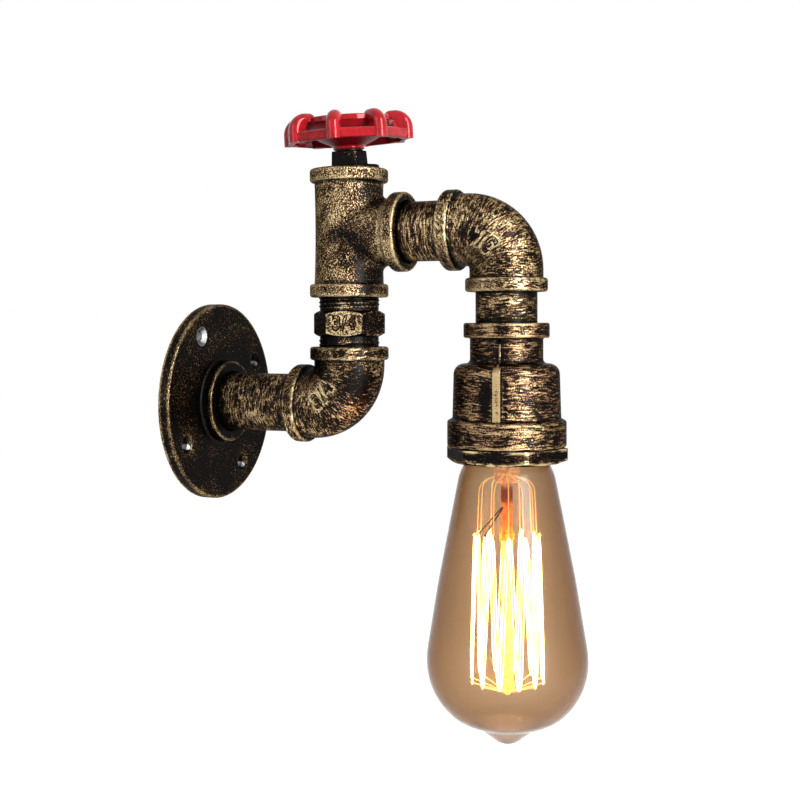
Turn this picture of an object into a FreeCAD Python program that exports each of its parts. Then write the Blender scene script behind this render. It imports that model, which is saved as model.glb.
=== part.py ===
import FreeCAD, Part
import math
import os

# Pipe wall light: a round wall flange, an arm of threaded pipe fittings that runs out, up and out
# again, a tee topped by a plugged end with a loose handwheel, and a lamp cup with its bulb.
# Millimetres. The origin is the centre of the flange's back, on the wall. The arm runs towards -Y,
# +Z is up, and the lower arm's axis is z = 0.

V = FreeCAD.Vector
UP = V(0, 0, 1)
DOWN = V(0, 0, -1)
TO_WALL = V(0, 1, 0)
FROM_WALL = V(0, -1, 0)

# Run of the pipework
TEE_REACH = 71.0            # wall to the riser's axis
DROP_REACH = 145.0          # wall to the lamp's axis
ARM_RISE = 76.0             # lower arm's axis to the upper arm's axis
DROP_GAP = 13.1             # bare nipple between the upper elbow and the lamp cup

# Pipe and threads, drawn as plain cylinders at the thread's crest
PIPE_OD = 26.2
PIPE_WALL = 2.6
THREAD_FIT = 0.05           # radial play of a pipe end in its socket
SOCKET_DEPTH = 9.0
END_PLAY = 0.3              # pipe end to the bottom of its socket
PIPE_R = PIPE_OD / 2
BORE_R = PIPE_R - PIPE_WALL
SOCKET_R = PIPE_R + THREAD_FIT

# Castings shared by the elbows and the tee
BAND_OD = 35.0
BAND_WIDTH = 5.9
BAND_ROUND = 1.2
BAND_ROOT = 0.6
MOUTH_CHAMFER = 1.0
ELBOW_OD = 31.3
ELBOW_BEND = 17.3           # radius of the elbow's centreline
LOWER_ELBOW_ARM = 25.6      # corner to face
UPPER_ELBOW_ARM = 26.8
TEE_OD = 30.8
TEE_WAIST = 30.0
TEE_ARM = 28.5
BRANCH_OD = 29.6
SADDLE_ROUND = 4.0

# Wall flange
FLANGE_OD = 90.0
FLANGE_THICK = 5.3
FLANGE_EDGE = 0.9
BOSS_OD = 38.2
BOSS_NOSE_OD = 37.0
BOSS_REACH = 10.5           # wall to the boss's nose
BOSS_FLATS = 36.4           # across the eight flats behind the nose
BOSS_FLATS_TURN = 10.0
BOSS_LIP = 1.4
SCREW_CIRCLE = 70.0
SCREW_COUNT = 4
SCREW_TURN = 30.5
SCREW_HOLE = 5.2
SCREW_SINK = 8.4
EARTH_CIRCLE_R = 16.2
EARTH_POCKET_R = 3.3
EARTH_POCKET_DEPTH = 2.9
EARTH_SCREW_R = 1.5
EARTH_SCREW_LENGTH = 6.0
EARTH_HEAD_R = 2.7
EARTH_HEAD = 1.6
WALL_NIPPLE_SET_BACK = 2.2  # pipe end behind the flange's back face

# Hexagon nipple between the tee and the lower elbow
CONE_INSIDE = 0.4           # where a hexagon's chamfer starts, inside its flats
HEX_FLATS = 28.0
HEX_CORNERS = 32.1
HEX_HEIGHT = 11.3
HEX_DROP = 0.7              # below the middle of the nipple
HEX_TURN = 45.9
HEX_CONE = 30.0

# Plug in the top of the tee
PLUG_COLLAR = 1.6           # thread left showing above the tee
PLUG_THREAD = 8.6
PLUG_HEAD = 6.7
PLUG_SQUARE = 12.9
PLUG_SQUARE_TOP = 12.3
PLUG_ROUND = 1.3

# Spindle and its fixings; the tee's top thread is tapped a little off square, so that the plug,
# the spindle and the wheel all lean with it
SPINDLE_R = 3.0
SPINDLE_RUN = 0.05          # radial running clearance in the plug
SPINDLE_LEAN_SIDE = 3.87    # degrees towards -X
SPINDLE_LEAN_BACK = 1.70    # degrees towards the wall
THRUST_WASHER_R = 6.2
THRUST_WASHER = 0.5
THRUST_GAP = 0.1            # washer to the plug's top
CLIP_R = 5.2
CLIP_THICK = 0.8
CLIP_GROOVE_R = 2.5
CLIP_DROP = 0.1
SPINDLE_TAIL = 2.2

# Handwheel, heights from the foot of its hub
LOBES = 8
LOBE_TURN = 12.0
LOBE_WIDTH = 6.1
LOBE_R = 29.6
LOBE_LEG_R = 23.7
LOBE_IN_R = 16.6
LOBE_HIGH = 12.8
LOBE_UNDER = 8.8
LOBE_SHOULDER = 8.0
LOBE_ROUND = 2.9
LOBE_END_ROUND = 3.2
LOBE_HOLLOW = 1.6           # undercut behind the leg
RIM_RAISE = 3.2             # hub's foot to the rim's lower edge
RIM_CORNER_R = 28.7
RIM_HEIGHT = 4.4
RIM_THICK = 2.4
RIM_EDGE = 0.8
HUB_R = 7.1
DISC_R = 20.5
DISC_LOW = 11.7
DISC_HIGH = 14.0
DISH_R = 12.5
NUT_SEAT_R = 8.2
NUT_SEAT = 9.4
NUT_WASHER_R = 6.0
NUT_WASHER = 0.8
NUT_FLATS = 10.0
NUT_CORNERS = 11.2
NUT_HEIGHT = 4.6
STUD_PROUD = 0.9

# Reducing socket, the lamp's cup
CUP_LENGTH = 52.1
CUP_TOP_OD = 36.4
CUP_TOP_BAND = 6.4
CUP_NECK_OD = 31.0
CUP_SHOULDER = 17.6         # cup's top to its shoulder
CUP_SHOULDER_ROUND = 4.5
CUP_FLARE = 1.3             # how much wider the body is at its foot
CUP_BAND_STEP = 2.85        # band's face beyond the body
CUP_BAND = 10.6
CUP_WALL = 2.6
CUP_ROOF = 2.2
CUP_LEDGE = 1.25            # thread's crest outside the cup's bore
CUP_THREAD_DEPTH = 12.4
CUP_RIBS = 2
CUP_RIB_TURN = 9.0
CUP_RIB_WIDTH = 3.2
CUP_RIB_PROUD = 1.65
CUP_RIB_ROOT = 1.6          # rib's start inside the cup's wall

# Hexagon ring screwed into the cup
RING_GROOVE = 0.5
RING_NECK = 1.6             # neck between hexagon and cup, beyond the thread
RING_FLATS = 45.6
RING_CORNERS = 51.8
RING_HEIGHT = 6.2
RING_TURN = 37.2
RING_CONE = 20.0
RING_SLEEVE = 1.6           # wall of the threaded sleeve

# Lampholder insert for a 27 mm screw cap
HOLDER_PLAY = 0.1
HOLDER_FLANGE = 3.0
HOLDER_CLEAR = 0.5          # insert's body inside the cup's bore
HOLDER_WALL = 5.05          # insert's wall round the screw shell
HOLDER_SKIRT = 5.0
HOLDER_STEP = 3.2           # how much narrower the insert's top is
HOLDER_STEP_HIGH = 6.0
HOLDER_ROOF = 2.5
SHELL_RUN = 0.5             # screw shell's crest outside the bulb's cap
SHELL_THICK = 0.5
SHELL_LIP = 4.8
POCKET_PLAY = 0.1
LUG_WIDTH = 4.6
STRIP_THICK = 0.4
STRIP_SPRING = 0.7
STRIP_END = 1.9
STRIP_TAIL = 2.4            # beyond the live rivet's axis
STRIP_HIGH_BEND = 3.0       # bends, from the bulb's axis
STRIP_LOW_BEND = 1.5
LUG_END = 2.9
LEAD_APART = 4.2            # each lead from the pipe's axis
PILLAR_R = 2.3
PILLAR_HEIGHT = 5.5
PILLAR_WELL = 3.5
RIVET_R = 1.1
GRUB_R = 1.0
GRUB_LENGTH = 1.6

# Leads and the terminal block in the wall nipple's mouth
LEAD_R = 1.1
LEAD_TEE_BEND = 12.0
BLOCK_FROM_WALL = 9.0
BLOCK_LENGTH = 15.0
BLOCK_WIDTH = 18.0
BLOCK_HEIGHT = 9.6
INSERT_R = 2.6
INSERT_LENGTH = 11.0
BLOCK_SCREW_R = 1.2
BLOCK_SCREW_SPACING = 5.5
LEAD_IN = 4.0

# Bulb
CAP_R = 13.2
CAP_THICK = 0.5
CAP_LENGTH = 26.8
CAP_SKIRT = 20.4
CAP_THROAT_R = 9.4
CAP_THROAT_RISE = 3.42      # skirt's end to the throat
INSULATOR_R = 5.2
TIP_R = 4.7
TIP_THICK = 0.8
TIP_GAP = 0.05              # tip to the holder's spring strip, and to the cap behind it
GLASS_WALL = 0.9
GLASS_IN_CAP = 9.0
GLASS_IN_CAP_PLAY = 0.1
GLASS_R = 34.2
GLASS_WIDEST = 92.8         # below the cap's rim
GLASS_DOME = 24.1           # widest to the foot of the dome
GLASS_TIP = 10.4            # foot of the dome to the tip
GLASS_SHOULDER_R = 19.9
GLASS_SHOULDER = 12.0
GLASS_SHOULDER_ROUND = 24.0
GLASS_FLANK_UP = 34.0       # above the widest
GLASS_FLANK_ROUND = 300.0
GLASS_FLANK_TURN = 9.4      # from upright, over the waist's round
GLASS_WAIST_ROUND = 40.0
GLASS_DOME_ROUND = 29.0
GLASS_DOME_TURN = 42.0      # from upright, over the dome's round
GLASS_BASE_ROUND = 21.0
PIP_R = 13.6
PIP_HIGH = 7.5
PIP_ROOT_ROUND = 6.0
PIP_NOSE_R = 3.6
PIP_NOSE_ROUND = 6.0
STEM_PLAY = 0.3
STEM_TUBE_R = 4.6
STEM_FLARE = 7.0
STEM_PINCH = 19.5
STEM_PINCH_HIGH = 9.0
STEM_LAP = 6.0              # tube's run into the pinch
STEM_PINCH_WIDE = 10.6
STEM_PINCH_THICK = 4.0
STEM_PINCH_TURN = 114.0
ROD_R = 2.5
ROD_LENGTH = 86.5
ROD_COLLAR = 22.3
ROD_COLLAR_R = 3.2
ROD_BUTTON_R = 3.0
ROD_BUTTON_HIGH = 3.2
ROD_TIP = 3.0               # button's foot to the rod's tip
ROD_TIP_R = 1.0
HOOKS = 12
HOOK_WIRE_R = 0.25
HOOK_ROOT_R = 0.6           # where a hook starts, inside the stem's glass
HOOK_ROOT = 4.2             # above the pinch's foot
HOOK_SHOULDER_R = 11.6
HOOK_SHOULDER = 0.5         # above the pinch's foot
HOOK_SHOULDER_ROUND = 6.0
HOOK_HEEL = 1.2             # heel inside the ring of hooks
HOOK_HEEL_ROUND = 0.8
HOOK_TOE = 0.9              # toe outside the ring of hooks
UPPER_HOOK_R = 13.8
UPPER_HOOK = 39.5           # below the cap's rim
LOWER_HOOK_R = 15.5
LOWER_HOOK = 101.0
FILAMENT_R = 0.3
FILAMENT_PLAY = 0.05        # filament to the hook it turns round
LEAD_IN_WIRE_R = 0.3
LEAD_IN_TURN = 142.5
LEAD_IN_SPREAD = 11.5
LEAD_IN_RISE = 13.5

# Places that follow from the sizes above
CUP_TOP = ARM_RISE - UPPER_ELBOW_ARM - DROP_GAP
CUP_FOOT = CUP_TOP - CUP_LENGTH
TEE_TOP = ARM_RISE + TEE_ARM
HUB_FOOT = TEE_TOP + PLUG_COLLAR + PLUG_HEAD + THRUST_GAP + THRUST_WASHER
CUP_STEP = CUP_FOOT + CUP_THREAD_DEPTH
CUP_CEILING = CUP_TOP - CUP_SHOULDER - CUP_ROOF
SHELL_OUT_R = CAP_R + SHELL_RUN + SHELL_THICK
SHELL_LIP_R = SHELL_OUT_R - SHELL_LIP
HOLDER_R = SHELL_OUT_R + HOLDER_WALL
CUP_BORE_R = HOLDER_R + HOLDER_CLEAR
CUP_OD = 2 * (CUP_BORE_R + CUP_WALL)
CUP_THREAD_R = CUP_BORE_R + CUP_LEDGE
RING_BORE_R = CUP_THREAD_R - RING_SLEEVE
GLASS_NECK_R = CAP_R - CAP_THICK - GLASS_IN_CAP_PLAY
GLASS_FLANK = GLASS_WIDEST - GLASS_FLANK_UP
GLASS_BASE = GLASS_WIDEST + GLASS_DOME
GLASS_LENGTH = GLASS_BASE + GLASS_TIP
STEM_FLARE_R = GLASS_NECK_R - GLASS_WALL - STEM_PLAY
HOLDER_SEAT = CUP_STEP - HOLDER_PLAY - HOLDER_FLANGE
HOLDER_TOP = CUP_CEILING - HOLDER_PLAY
POCKET_TOP = HOLDER_TOP - HOLDER_ROOF
TIP_TOP = POCKET_TOP - STRIP_THICK - STRIP_SPRING - TIP_GAP
CAP_RIM = TIP_TOP - CAP_LENGTH
PINCH_FOOT = CAP_RIM + GLASS_IN_CAP - STEM_FLARE - STEM_PINCH
BUTTON_FOOT = PINCH_FOOT - ROD_LENGTH
DROP_AXIS = V(0, -DROP_REACH, 0)
RISER_AXIS = V(0, -TEE_REACH, 0)
SPINDLE = V(-math.tan(math.radians(SPINDLE_LEAN_SIDE)),
            math.tan(math.radians(SPINDLE_LEAN_BACK)), 1)
SPINDLE.normalize()
HUB_CENTRE = RISER_AXIS + UP * HUB_FOOT


def unit(vector):
    """The vector at length one."""
    return vector * (1.0 / vector.Length)


def polar(radius, degrees, height=0.0):
    """A point by its radius and turn about +Z."""
    angle = math.radians(degrees)
    return V(radius * math.cos(angle), radius * math.sin(angle), height)


def outline(corners):
    """A face in the XZ plane. A corner is (x, z) or (x, z, rounding radius)."""
    points = [V(corner[0], 0, corner[1]) for corner in corners]
    count = len(points)
    edges = []
    leave = None
    first = None
    for index in range(count + 1):
        corner = corners[index % count]
        point = points[index % count]
        enter = exit_point = point
        arc = None
        if len(corner) > 2:
            back = unit(points[index % count - 1] - point)
            ahead = unit(points[(index + 1) % count] - point)
            half = back.getAngle(ahead) / 2
            inward = unit(back + ahead)
            enter = point + back * (corner[2] / math.tan(half))
            exit_point = point + ahead * (corner[2] / math.tan(half))
            middle = point + inward * (corner[2] / math.sin(half) - corner[2])
            arc = Part.Arc(enter, middle, exit_point).toShape()
        if leave is not None and (enter - leave).Length > 1e-6:
            edges.append(Part.LineSegment(leave, enter).toShape())
        if index < count and arc is not None:
            edges.append(arc)
        leave = exit_point
        if first is None:
            first = enter
    return Part.Face(Part.Wire(edges))


def path(stops, rounds):
    """Straight runs between stops, with a tangent arc of the given radius at each inner stop."""
    edges = []
    leave = stops[0]
    for corner, radius, before, after in zip(stops[1:-1], rounds, stops[:-2], stops[2:]):
        back = unit(before - corner)
        ahead = unit(after - corner)
        half = back.getAngle(ahead) / 2
        enter = corner + back * (radius / math.tan(half))
        turn_end = corner + ahead * (radius / math.tan(half))
        middle = corner + unit(back + ahead) * (radius / math.sin(half) - radius)
        edges.append(Part.LineSegment(leave, enter).toShape())
        edges.append(Part.Arc(enter, middle, turn_end).toShape())
        leave = turn_end
    edges.append(Part.LineSegment(leave, stops[-1]).toShape())
    return Part.Wire(edges)


def bent_wire(radius, stops, rounds):
    """A round wire bent along a path of stops."""
    section = Part.Wire(Part.makeCircle(radius, stops[0], stops[1] - stops[0]))
    return path(stops, rounds).makePipeShell([section], True, False)


def placed(shape, foot, axis):
    """The shape with its local +Z turned onto an axis and its origin moved to a point."""
    shape = shape.copy()
    shape.Placement = FreeCAD.Placement(foot, FreeCAD.Rotation(UP, axis)).multiply(shape.Placement)
    return shape


def turned(corners, foot=V(0, 0, 0), axis=UP):
    """A solid turned from an outline of (radius, height) corners."""
    return placed(outline(corners).revolve(V(0, 0, 0), UP, 360), foot, axis)


def rod(radius, start, end):
    """A plain round bar between two points."""
    return Part.makeCylinder(radius, (end - start).Length, start, end - start)


def tube(outer, inner, start, end):
    """A plain round tube between two points."""
    return rod(outer, start, end).cut(rod(inner, start, end))


def prism(sides, across_flats, low, high, turn=0.0):
    """A regular prism about +Z with a corner at the given turn."""
    corner_r = across_flats / 2 / math.cos(math.pi / sides)
    corners = [polar(corner_r, turn + 360.0 * k / sides, low) for k in range(sides + 1)]
    return Part.Face(Part.makePolygon(corners)).extrude(UP * (high - low))


def fused(first, *others):
    """One solid from several, with the seams between flush faces removed."""
    return first.fuse(list(others)).removeSplitter()


def chamfered_hexagon(flats, corners, low, high, turn, cone, faces):
    """A hexagon whose corners are clipped to a circle and chamfered by a cone at its chosen ends.

    The cone starts CONE_INSIDE the flats; cone is its slope in degrees, and faces names the ends.
    """
    start_r = flats / 2 - CONE_INSIDE
    drop = (corners / 2 - start_r) * math.tan(math.radians(cone))
    foot = [(start_r, low), (corners / 2, low + drop)] if "low" in faces else [(corners / 2, low)]
    head = [(corners / 2, high - drop), (start_r, high)] if "high" in faces else [(corners / 2, high)]
    return prism(6, flats, low, high, turn).common(turned([(0, low)] + foot + head + [(0, high)]))


def banded_end(body_r, arm, start):
    """A casting's arm along +Z, from start to its face, with the thick band at its mouth."""
    band_r = BAND_OD / 2
    return turned([(0, start), (body_r, start), (body_r, arm - BAND_WIDTH, BAND_ROOT),
                   (band_r, arm - BAND_WIDTH, BAND_ROUND), (band_r, arm, BAND_ROUND),
                   (SOCKET_R + MOUTH_CHAMFER, arm), (SOCKET_R, arm - MOUTH_CHAMFER),
                   (0, arm - MOUTH_CHAMFER)])


def socket(arm):
    """The space inside a casting's arm: the threaded socket and the passage behind it."""
    return fused(rod(SOCKET_R, V(0, 0, arm - SOCKET_DEPTH), V(0, 0, arm)),
                 rod(BORE_R, V(0, 0, 0), V(0, 0, arm)))


def bend(radius):
    """A quarter bend in the YZ plane that joins an arm along +Y to an arm along +Z."""
    start = V(0, ELBOW_BEND, 0)
    face = Part.Face(Part.Wire(Part.makeCircle(radius, start, V(0, 1, 0))))
    return face.revolve(V(0, ELBOW_BEND, ELBOW_BEND), V(-1, 0, 0), 90)


def elbow(arm, corner, second):
    """An elbow at a corner of the pipework: one arm to the wall, the other along +Z or -Z."""
    body_r = ELBOW_OD / 2
    upright = banded_end(body_r, arm, ELBOW_BEND)
    level = placed(upright, V(0, 0, 0), TO_WALL)
    body = fused(bend(body_r), upright, level)
    bore = rod(SOCKET_R, V(0, 0, arm - SOCKET_DEPTH), V(0, 0, arm))
    passage = rod(BORE_R, V(0, 0, ELBOW_BEND), V(0, 0, arm))
    for tool in (bend(BORE_R), bore, passage, placed(bore, V(0, 0, 0), TO_WALL),
                 placed(passage, V(0, 0, 0), TO_WALL)):
        body = body.cut(tool)
    if second.z < 0:
        body = body.mirror(V(0, 0, 0), UP)
    body.translate(corner)
    return body


def at(reach, height=0.0):
    """A point on the arm's plane, by its reach from the wall and its height."""
    return V(0, -reach, height)


def wall_flange():
    """The round cast flange with its screw holes, boss and earth-screw pocket."""
    back_r = FLANGE_OD / 2
    flange = turned([(SOCKET_R, 0), (back_r, 0), (back_r, FLANGE_THICK, FLANGE_EDGE),
                     (BOSS_OD / 2, FLANGE_THICK, 1.2), (BOSS_NOSE_OD / 2, BOSS_REACH, 0.7),
                     (SOCKET_R + MOUTH_CHAMFER, BOSS_REACH), (SOCKET_R, BOSS_REACH - MOUTH_CHAMFER)])
    flats_from = FLANGE_THICK + BOSS_LIP
    flats_to = BOSS_REACH - BOSS_LIP
    clear = rod(BOSS_OD, V(0, 0, flats_from), V(0, 0, flats_to))
    flange = flange.cut(clear.cut(prism(8, BOSS_FLATS, flats_from, flats_to, BOSS_FLATS_TURN)))
    sink = (SCREW_SINK - SCREW_HOLE) / 2
    hole = turned([(0, 0), (SCREW_HOLE / 2, 0), (SCREW_HOLE / 2, FLANGE_THICK - sink),
                   (SCREW_SINK / 2, FLANGE_THICK), (0, FLANGE_THICK)])
    for k in range(SCREW_COUNT):
        spot = hole.copy()
        spot.translate(polar(SCREW_CIRCLE / 2, SCREW_TURN + 360.0 * k / SCREW_COUNT))
        flange = flange.cut(spot)
    earth = polar(EARTH_CIRCLE_R, -90)
    flange = flange.cut(rod(EARTH_POCKET_R, earth, earth + UP * EARTH_POCKET_DEPTH))
    flange = flange.cut(rod(EARTH_SCREW_R, earth, earth + UP * (EARTH_POCKET_DEPTH + EARTH_SCREW_LENGTH)))
    return placed(flange, V(0, 0, 0), FROM_WALL)


def earth_screw():
    """The pan-head screw for the supply's earth, in its pocket in the flange's back."""
    under = EARTH_POCKET_DEPTH
    screw = turned([(0, under - EARTH_HEAD), (EARTH_HEAD_R, under - EARTH_HEAD, 0.5), (EARTH_HEAD_R, under),
                    (EARTH_SCREW_R, under), (EARTH_SCREW_R, under + EARTH_SCREW_LENGTH - 0.6),
                    (0, under + EARTH_SCREW_LENGTH - 0.2)])
    slot = Part.makeBox(2 * EARTH_HEAD_R, 0.7, 0.8, V(-EARTH_HEAD_R, -0.35, under - EARTH_HEAD))
    screw = screw.cut(slot)
    screw.translate(polar(EARTH_CIRCLE_R, -90))
    return placed(screw, V(0, 0, 0), FROM_WALL)


def nipple(start, end):
    """A length of pipe, threaded at both ends and eased at its mouths."""
    length = (end - start).Length
    ease = 0.6
    return turned([(BORE_R, 0), (PIPE_R - ease, 0), (PIPE_R, ease), (PIPE_R, length - ease),
                   (PIPE_R - ease, length), (BORE_R, length)], start, end - start)


def in_socket(face, outward):
    """Where a pipe end sits inside a socket, from the socket's face."""
    return face - outward * (SOCKET_DEPTH - END_PLAY)


def hex_nipple():
    """The hexagon nipple that joins the lower elbow to the tee."""
    low_face = at(TEE_REACH, LOWER_ELBOW_ARM)
    high_face = at(TEE_REACH, ARM_RISE - TEE_ARM)
    pipe = nipple(in_socket(low_face, UP), in_socket(high_face, DOWN))
    low = (LOWER_ELBOW_ARM + ARM_RISE - TEE_ARM - HEX_HEIGHT) / 2 - HEX_DROP
    nut = chamfered_hexagon(HEX_FLATS, HEX_CORNERS, low, low + HEX_HEIGHT, HEX_TURN, HEX_CONE,
                            ("low", "high"))
    nut.translate(RISER_AXIS)
    bore = rod(BORE_R, RISER_AXIS, RISER_AXIS + UP * ARM_RISE)
    return fused(pipe, nut.cut(bore))


def tee():
    """The tee: a waisted run along the riser, with its branch towards the lamp."""
    waist_r = TEE_WAIST / 2
    run_r = TEE_OD / 2
    root = TEE_ARM - BAND_WIDTH - BAND_ROOT
    spine = Part.Wire([
        Part.LineSegment(V(0, 0, -root), V(run_r, 0, -root)).toShape(),
        Part.Arc(V(run_r, 0, -root), V(waist_r, 0, 0), V(run_r, 0, root)).toShape(),
        Part.LineSegment(V(run_r, 0, root), V(0, 0, root)).toShape(),
        Part.LineSegment(V(0, 0, root), V(0, 0, -root)).toShape()])
    run = Part.Face(spine).revolve(V(0, 0, 0), UP, 360)
    branch = rod(BRANCH_OD / 2, V(0, 0, 0), V(0, 0, root))
    branch = placed(branch, V(0, 0, 0), FROM_WALL)
    body = run.fuse(branch)
    seam = [edge for edge in body.Edges if is_seam(edge, root)]
    body = body.makeFillet(SADDLE_ROUND, seam)
    top = banded_end(run_r, TEE_ARM, root - 1.0)
    out = placed(banded_end(BRANCH_OD / 2, TEE_ARM, root - 1.0), V(0, 0, 0), FROM_WALL)
    body = fused(body, top, placed(top, V(0, 0, 0), DOWN), out)
    space = socket(TEE_ARM)
    for axis in (DOWN, FROM_WALL):
        body = body.cut(placed(space, V(0, 0, 0), axis))
    body = body.cut(rod(BORE_R, V(0, 0, 0), V(0, 0, TEE_ARM)))
    body.translate(at(TEE_REACH, ARM_RISE))
    foot, collar, _ = plug_heights()
    return body.cut(on_spindle(rod(SOCKET_R, V(0, 0, foot - END_PLAY), V(0, 0, collar))))


def is_seam(edge, root):
    """Whether an edge is where the tee's branch leaves its run."""
    box = edge.BoundBox
    return box.YMax > -root + 1.0 and box.YMax < -1.0 and box.ZLength > 1.0 and box.YLength > 1.0


def plug_heights():
    """Heights of the plug's foot, its collar's top and its head's top, from the hub's foot."""
    top = -THRUST_WASHER - THRUST_GAP
    collar = top - PLUG_HEAD
    return collar - PLUG_COLLAR - PLUG_THREAD, collar, top


def spindle_plug():
    """The square-headed plug that closes the tee and carries the spindle."""
    foot, collar, top = plug_heights()
    thread = turned([(0, foot), (PIPE_R - 0.8, foot), (PIPE_R, foot + 0.8), (PIPE_R, collar - 0.5),
                     (PIPE_R - 0.5, collar), (0, collar)])
    half = PLUG_SQUARE / 2
    head_foot = collar - 1.0
    lean = math.degrees(math.atan((PLUG_SQUARE - PLUG_SQUARE_TOP) / 2 / PLUG_HEAD))
    head = prism(4, PLUG_SQUARE, head_foot, top, 45)
    for k in range(4):
        cutter = Part.makeBox(PLUG_SQUARE, 2 * PLUG_SQUARE, 3 * PLUG_HEAD, V(half, -PLUG_SQUARE, head_foot))
        cutter.rotate(V(half, 0, head_foot), V(0, 1, 0), -lean)
        cutter.rotate(V(0, 0, 0), UP, 90.0 * k)
        head = head.cut(cutter)
    upright = [edge for edge in head.Edges if edge.BoundBox.ZLength > PLUG_HEAD / 2]
    head = head.makeFillet(PLUG_ROUND, upright)
    rim = [edge for edge in head.Edges if edge.BoundBox.ZMin > top - 1e-3]
    head = head.makeFillet(0.5, rim)
    plug = fused(thread, head).cut(rod(SPINDLE_R + SPINDLE_RUN, V(0, 0, foot - 1), V(0, 0, top + 1)))
    return on_spindle(plug)


def on_spindle(shape):
    """The shape, drawn about +Z from the foot of the wheel's hub, set on the leaning spindle."""
    return placed(shape, HUB_CENTRE, SPINDLE)


def clip_top():
    """Height of the retaining clip's upper face, along the spindle from the hub's foot."""
    return plug_heights()[0] - CLIP_DROP


def spindle():
    """The stud: it runs in the plug, is held by a clip below and by the wheel's nut above."""
    top = NUT_SEAT + NUT_WASHER + NUT_HEIGHT + STUD_PROUD
    clip = clip_top()
    return on_spindle(turned([
        (0, clip - CLIP_THICK - SPINDLE_TAIL), (SPINDLE_R, clip - CLIP_THICK - SPINDLE_TAIL, 0.5),
        (SPINDLE_R, clip - CLIP_THICK), (CLIP_GROOVE_R, clip - CLIP_THICK), (CLIP_GROOVE_R, clip),
        (SPINDLE_R, clip), (SPINDLE_R, top, 0.5), (0, top)]))


def retaining_clip():
    """The open clip in the spindle's groove, under the plug."""
    ring = tube(CLIP_R, CLIP_GROOVE_R, V(0, 0, clip_top() - CLIP_THICK), V(0, 0, clip_top()))
    mouth = Part.makeBox(CLIP_R, 2 * CLIP_GROOVE_R - 0.8, 2 * CLIP_THICK,
                         V(0, 0.4 - CLIP_GROOVE_R, clip_top() - 1.5 * CLIP_THICK))
    return on_spindle(ring.cut(mouth))


def thrust_washer():
    """The washer between the plug and the wheel's hub."""
    return on_spindle(tube(THRUST_WASHER_R, SPINDLE_R, V(0, 0, -THRUST_WASHER), V(0, 0, 0)))


def wheel_washer():
    """The washer under the wheel's nut."""
    return on_spindle(tube(NUT_WASHER_R, SPINDLE_R, V(0, 0, NUT_SEAT), V(0, 0, NUT_SEAT + NUT_WASHER)))


def wheel_nut():
    """The nut that holds the wheel on its spindle."""
    low = NUT_SEAT + NUT_WASHER
    nut = chamfered_hexagon(NUT_FLATS, NUT_CORNERS, low, low + NUT_HEIGHT, 0, HEX_CONE, ("low", "high"))
    return on_spindle(nut.cut(rod(SPINDLE_R, V(0, 0, low), V(0, 0, low + NUT_HEIGHT))))


def wheel_lobe():
    """One finger lobe: a leg at the rim that shoulders over and runs in onto the disc."""
    low = RIM_RAISE
    face = outline([(LOBE_LEG_R, low), (LOBE_R, low), (LOBE_R, low + LOBE_HIGH, LOBE_SHOULDER),
                    (LOBE_IN_R, low + LOBE_HIGH, LOBE_END_ROUND), (LOBE_IN_R, low + LOBE_UNDER),
                    (LOBE_LEG_R - LOBE_HOLLOW, low + LOBE_UNDER, LOBE_HOLLOW - 0.2),
                    (LOBE_LEG_R, low + RIM_HEIGHT)])
    face.translate(V(0, -LOBE_WIDTH / 2, 0))
    lobe = face.extrude(V(0, LOBE_WIDTH, 0))
    sides = [edge for edge in lobe.Edges if is_lobe_rim(edge)]
    return lobe.makeFillet(LOBE_ROUND, sides)


def is_lobe_rim(edge):
    """Whether an edge runs along the outer side of the lobe, on one of its flanks."""
    box = edge.BoundBox
    on_flank = box.YLength < 1e-6
    outer = box.XMax > LOBE_R - 1e-3 and box.ZMax > RIM_RAISE + 1.0
    top = box.ZMin > RIM_RAISE + LOBE_HIGH - LOBE_END_ROUND - 1e-3
    return on_flank and (outer or top)


def handwheel():
    """The cast wheel: hub and flared web, top disc, eight lobes and the eight-sided rim."""
    seat_slope = DISH_R + 0.5
    centre = turned([(SPINDLE_R, 0), (HUB_R, 0, 0.6), (HUB_R, 1.6, 1.5), (17.0, 6.2, 18.0),
                     (DISC_R, DISC_LOW), (DISC_R, DISC_HIGH, 0.6), (seat_slope, DISC_HIGH, 1.0),
                     (NUT_SEAT_R, NUT_SEAT, 1.0), (SPINDLE_R, NUT_SEAT)])
    flats = 2 * RIM_CORNER_R * math.cos(math.pi / LOBES)
    rim = prism(LOBES, flats, RIM_RAISE, RIM_RAISE + RIM_HEIGHT, LOBE_TURN)
    rounds = [edge for edge in rim.Edges if edge.BoundBox.ZLength < 1e-6]
    rim = rim.makeFillet(RIM_EDGE, rounds)
    rim = rim.cut(prism(LOBES, flats - 2 * RIM_THICK, 0, 2 * (RIM_RAISE + RIM_HEIGHT), LOBE_TURN))
    lobes = []
    for k in range(LOBES):
        lobe = wheel_lobe()
        lobe.rotate(V(0, 0, 0), UP, LOBE_TURN + 360.0 * k / LOBES)
        lobes.append(lobe)
    return on_spindle(fused(centre, rim, *lobes))


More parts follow.
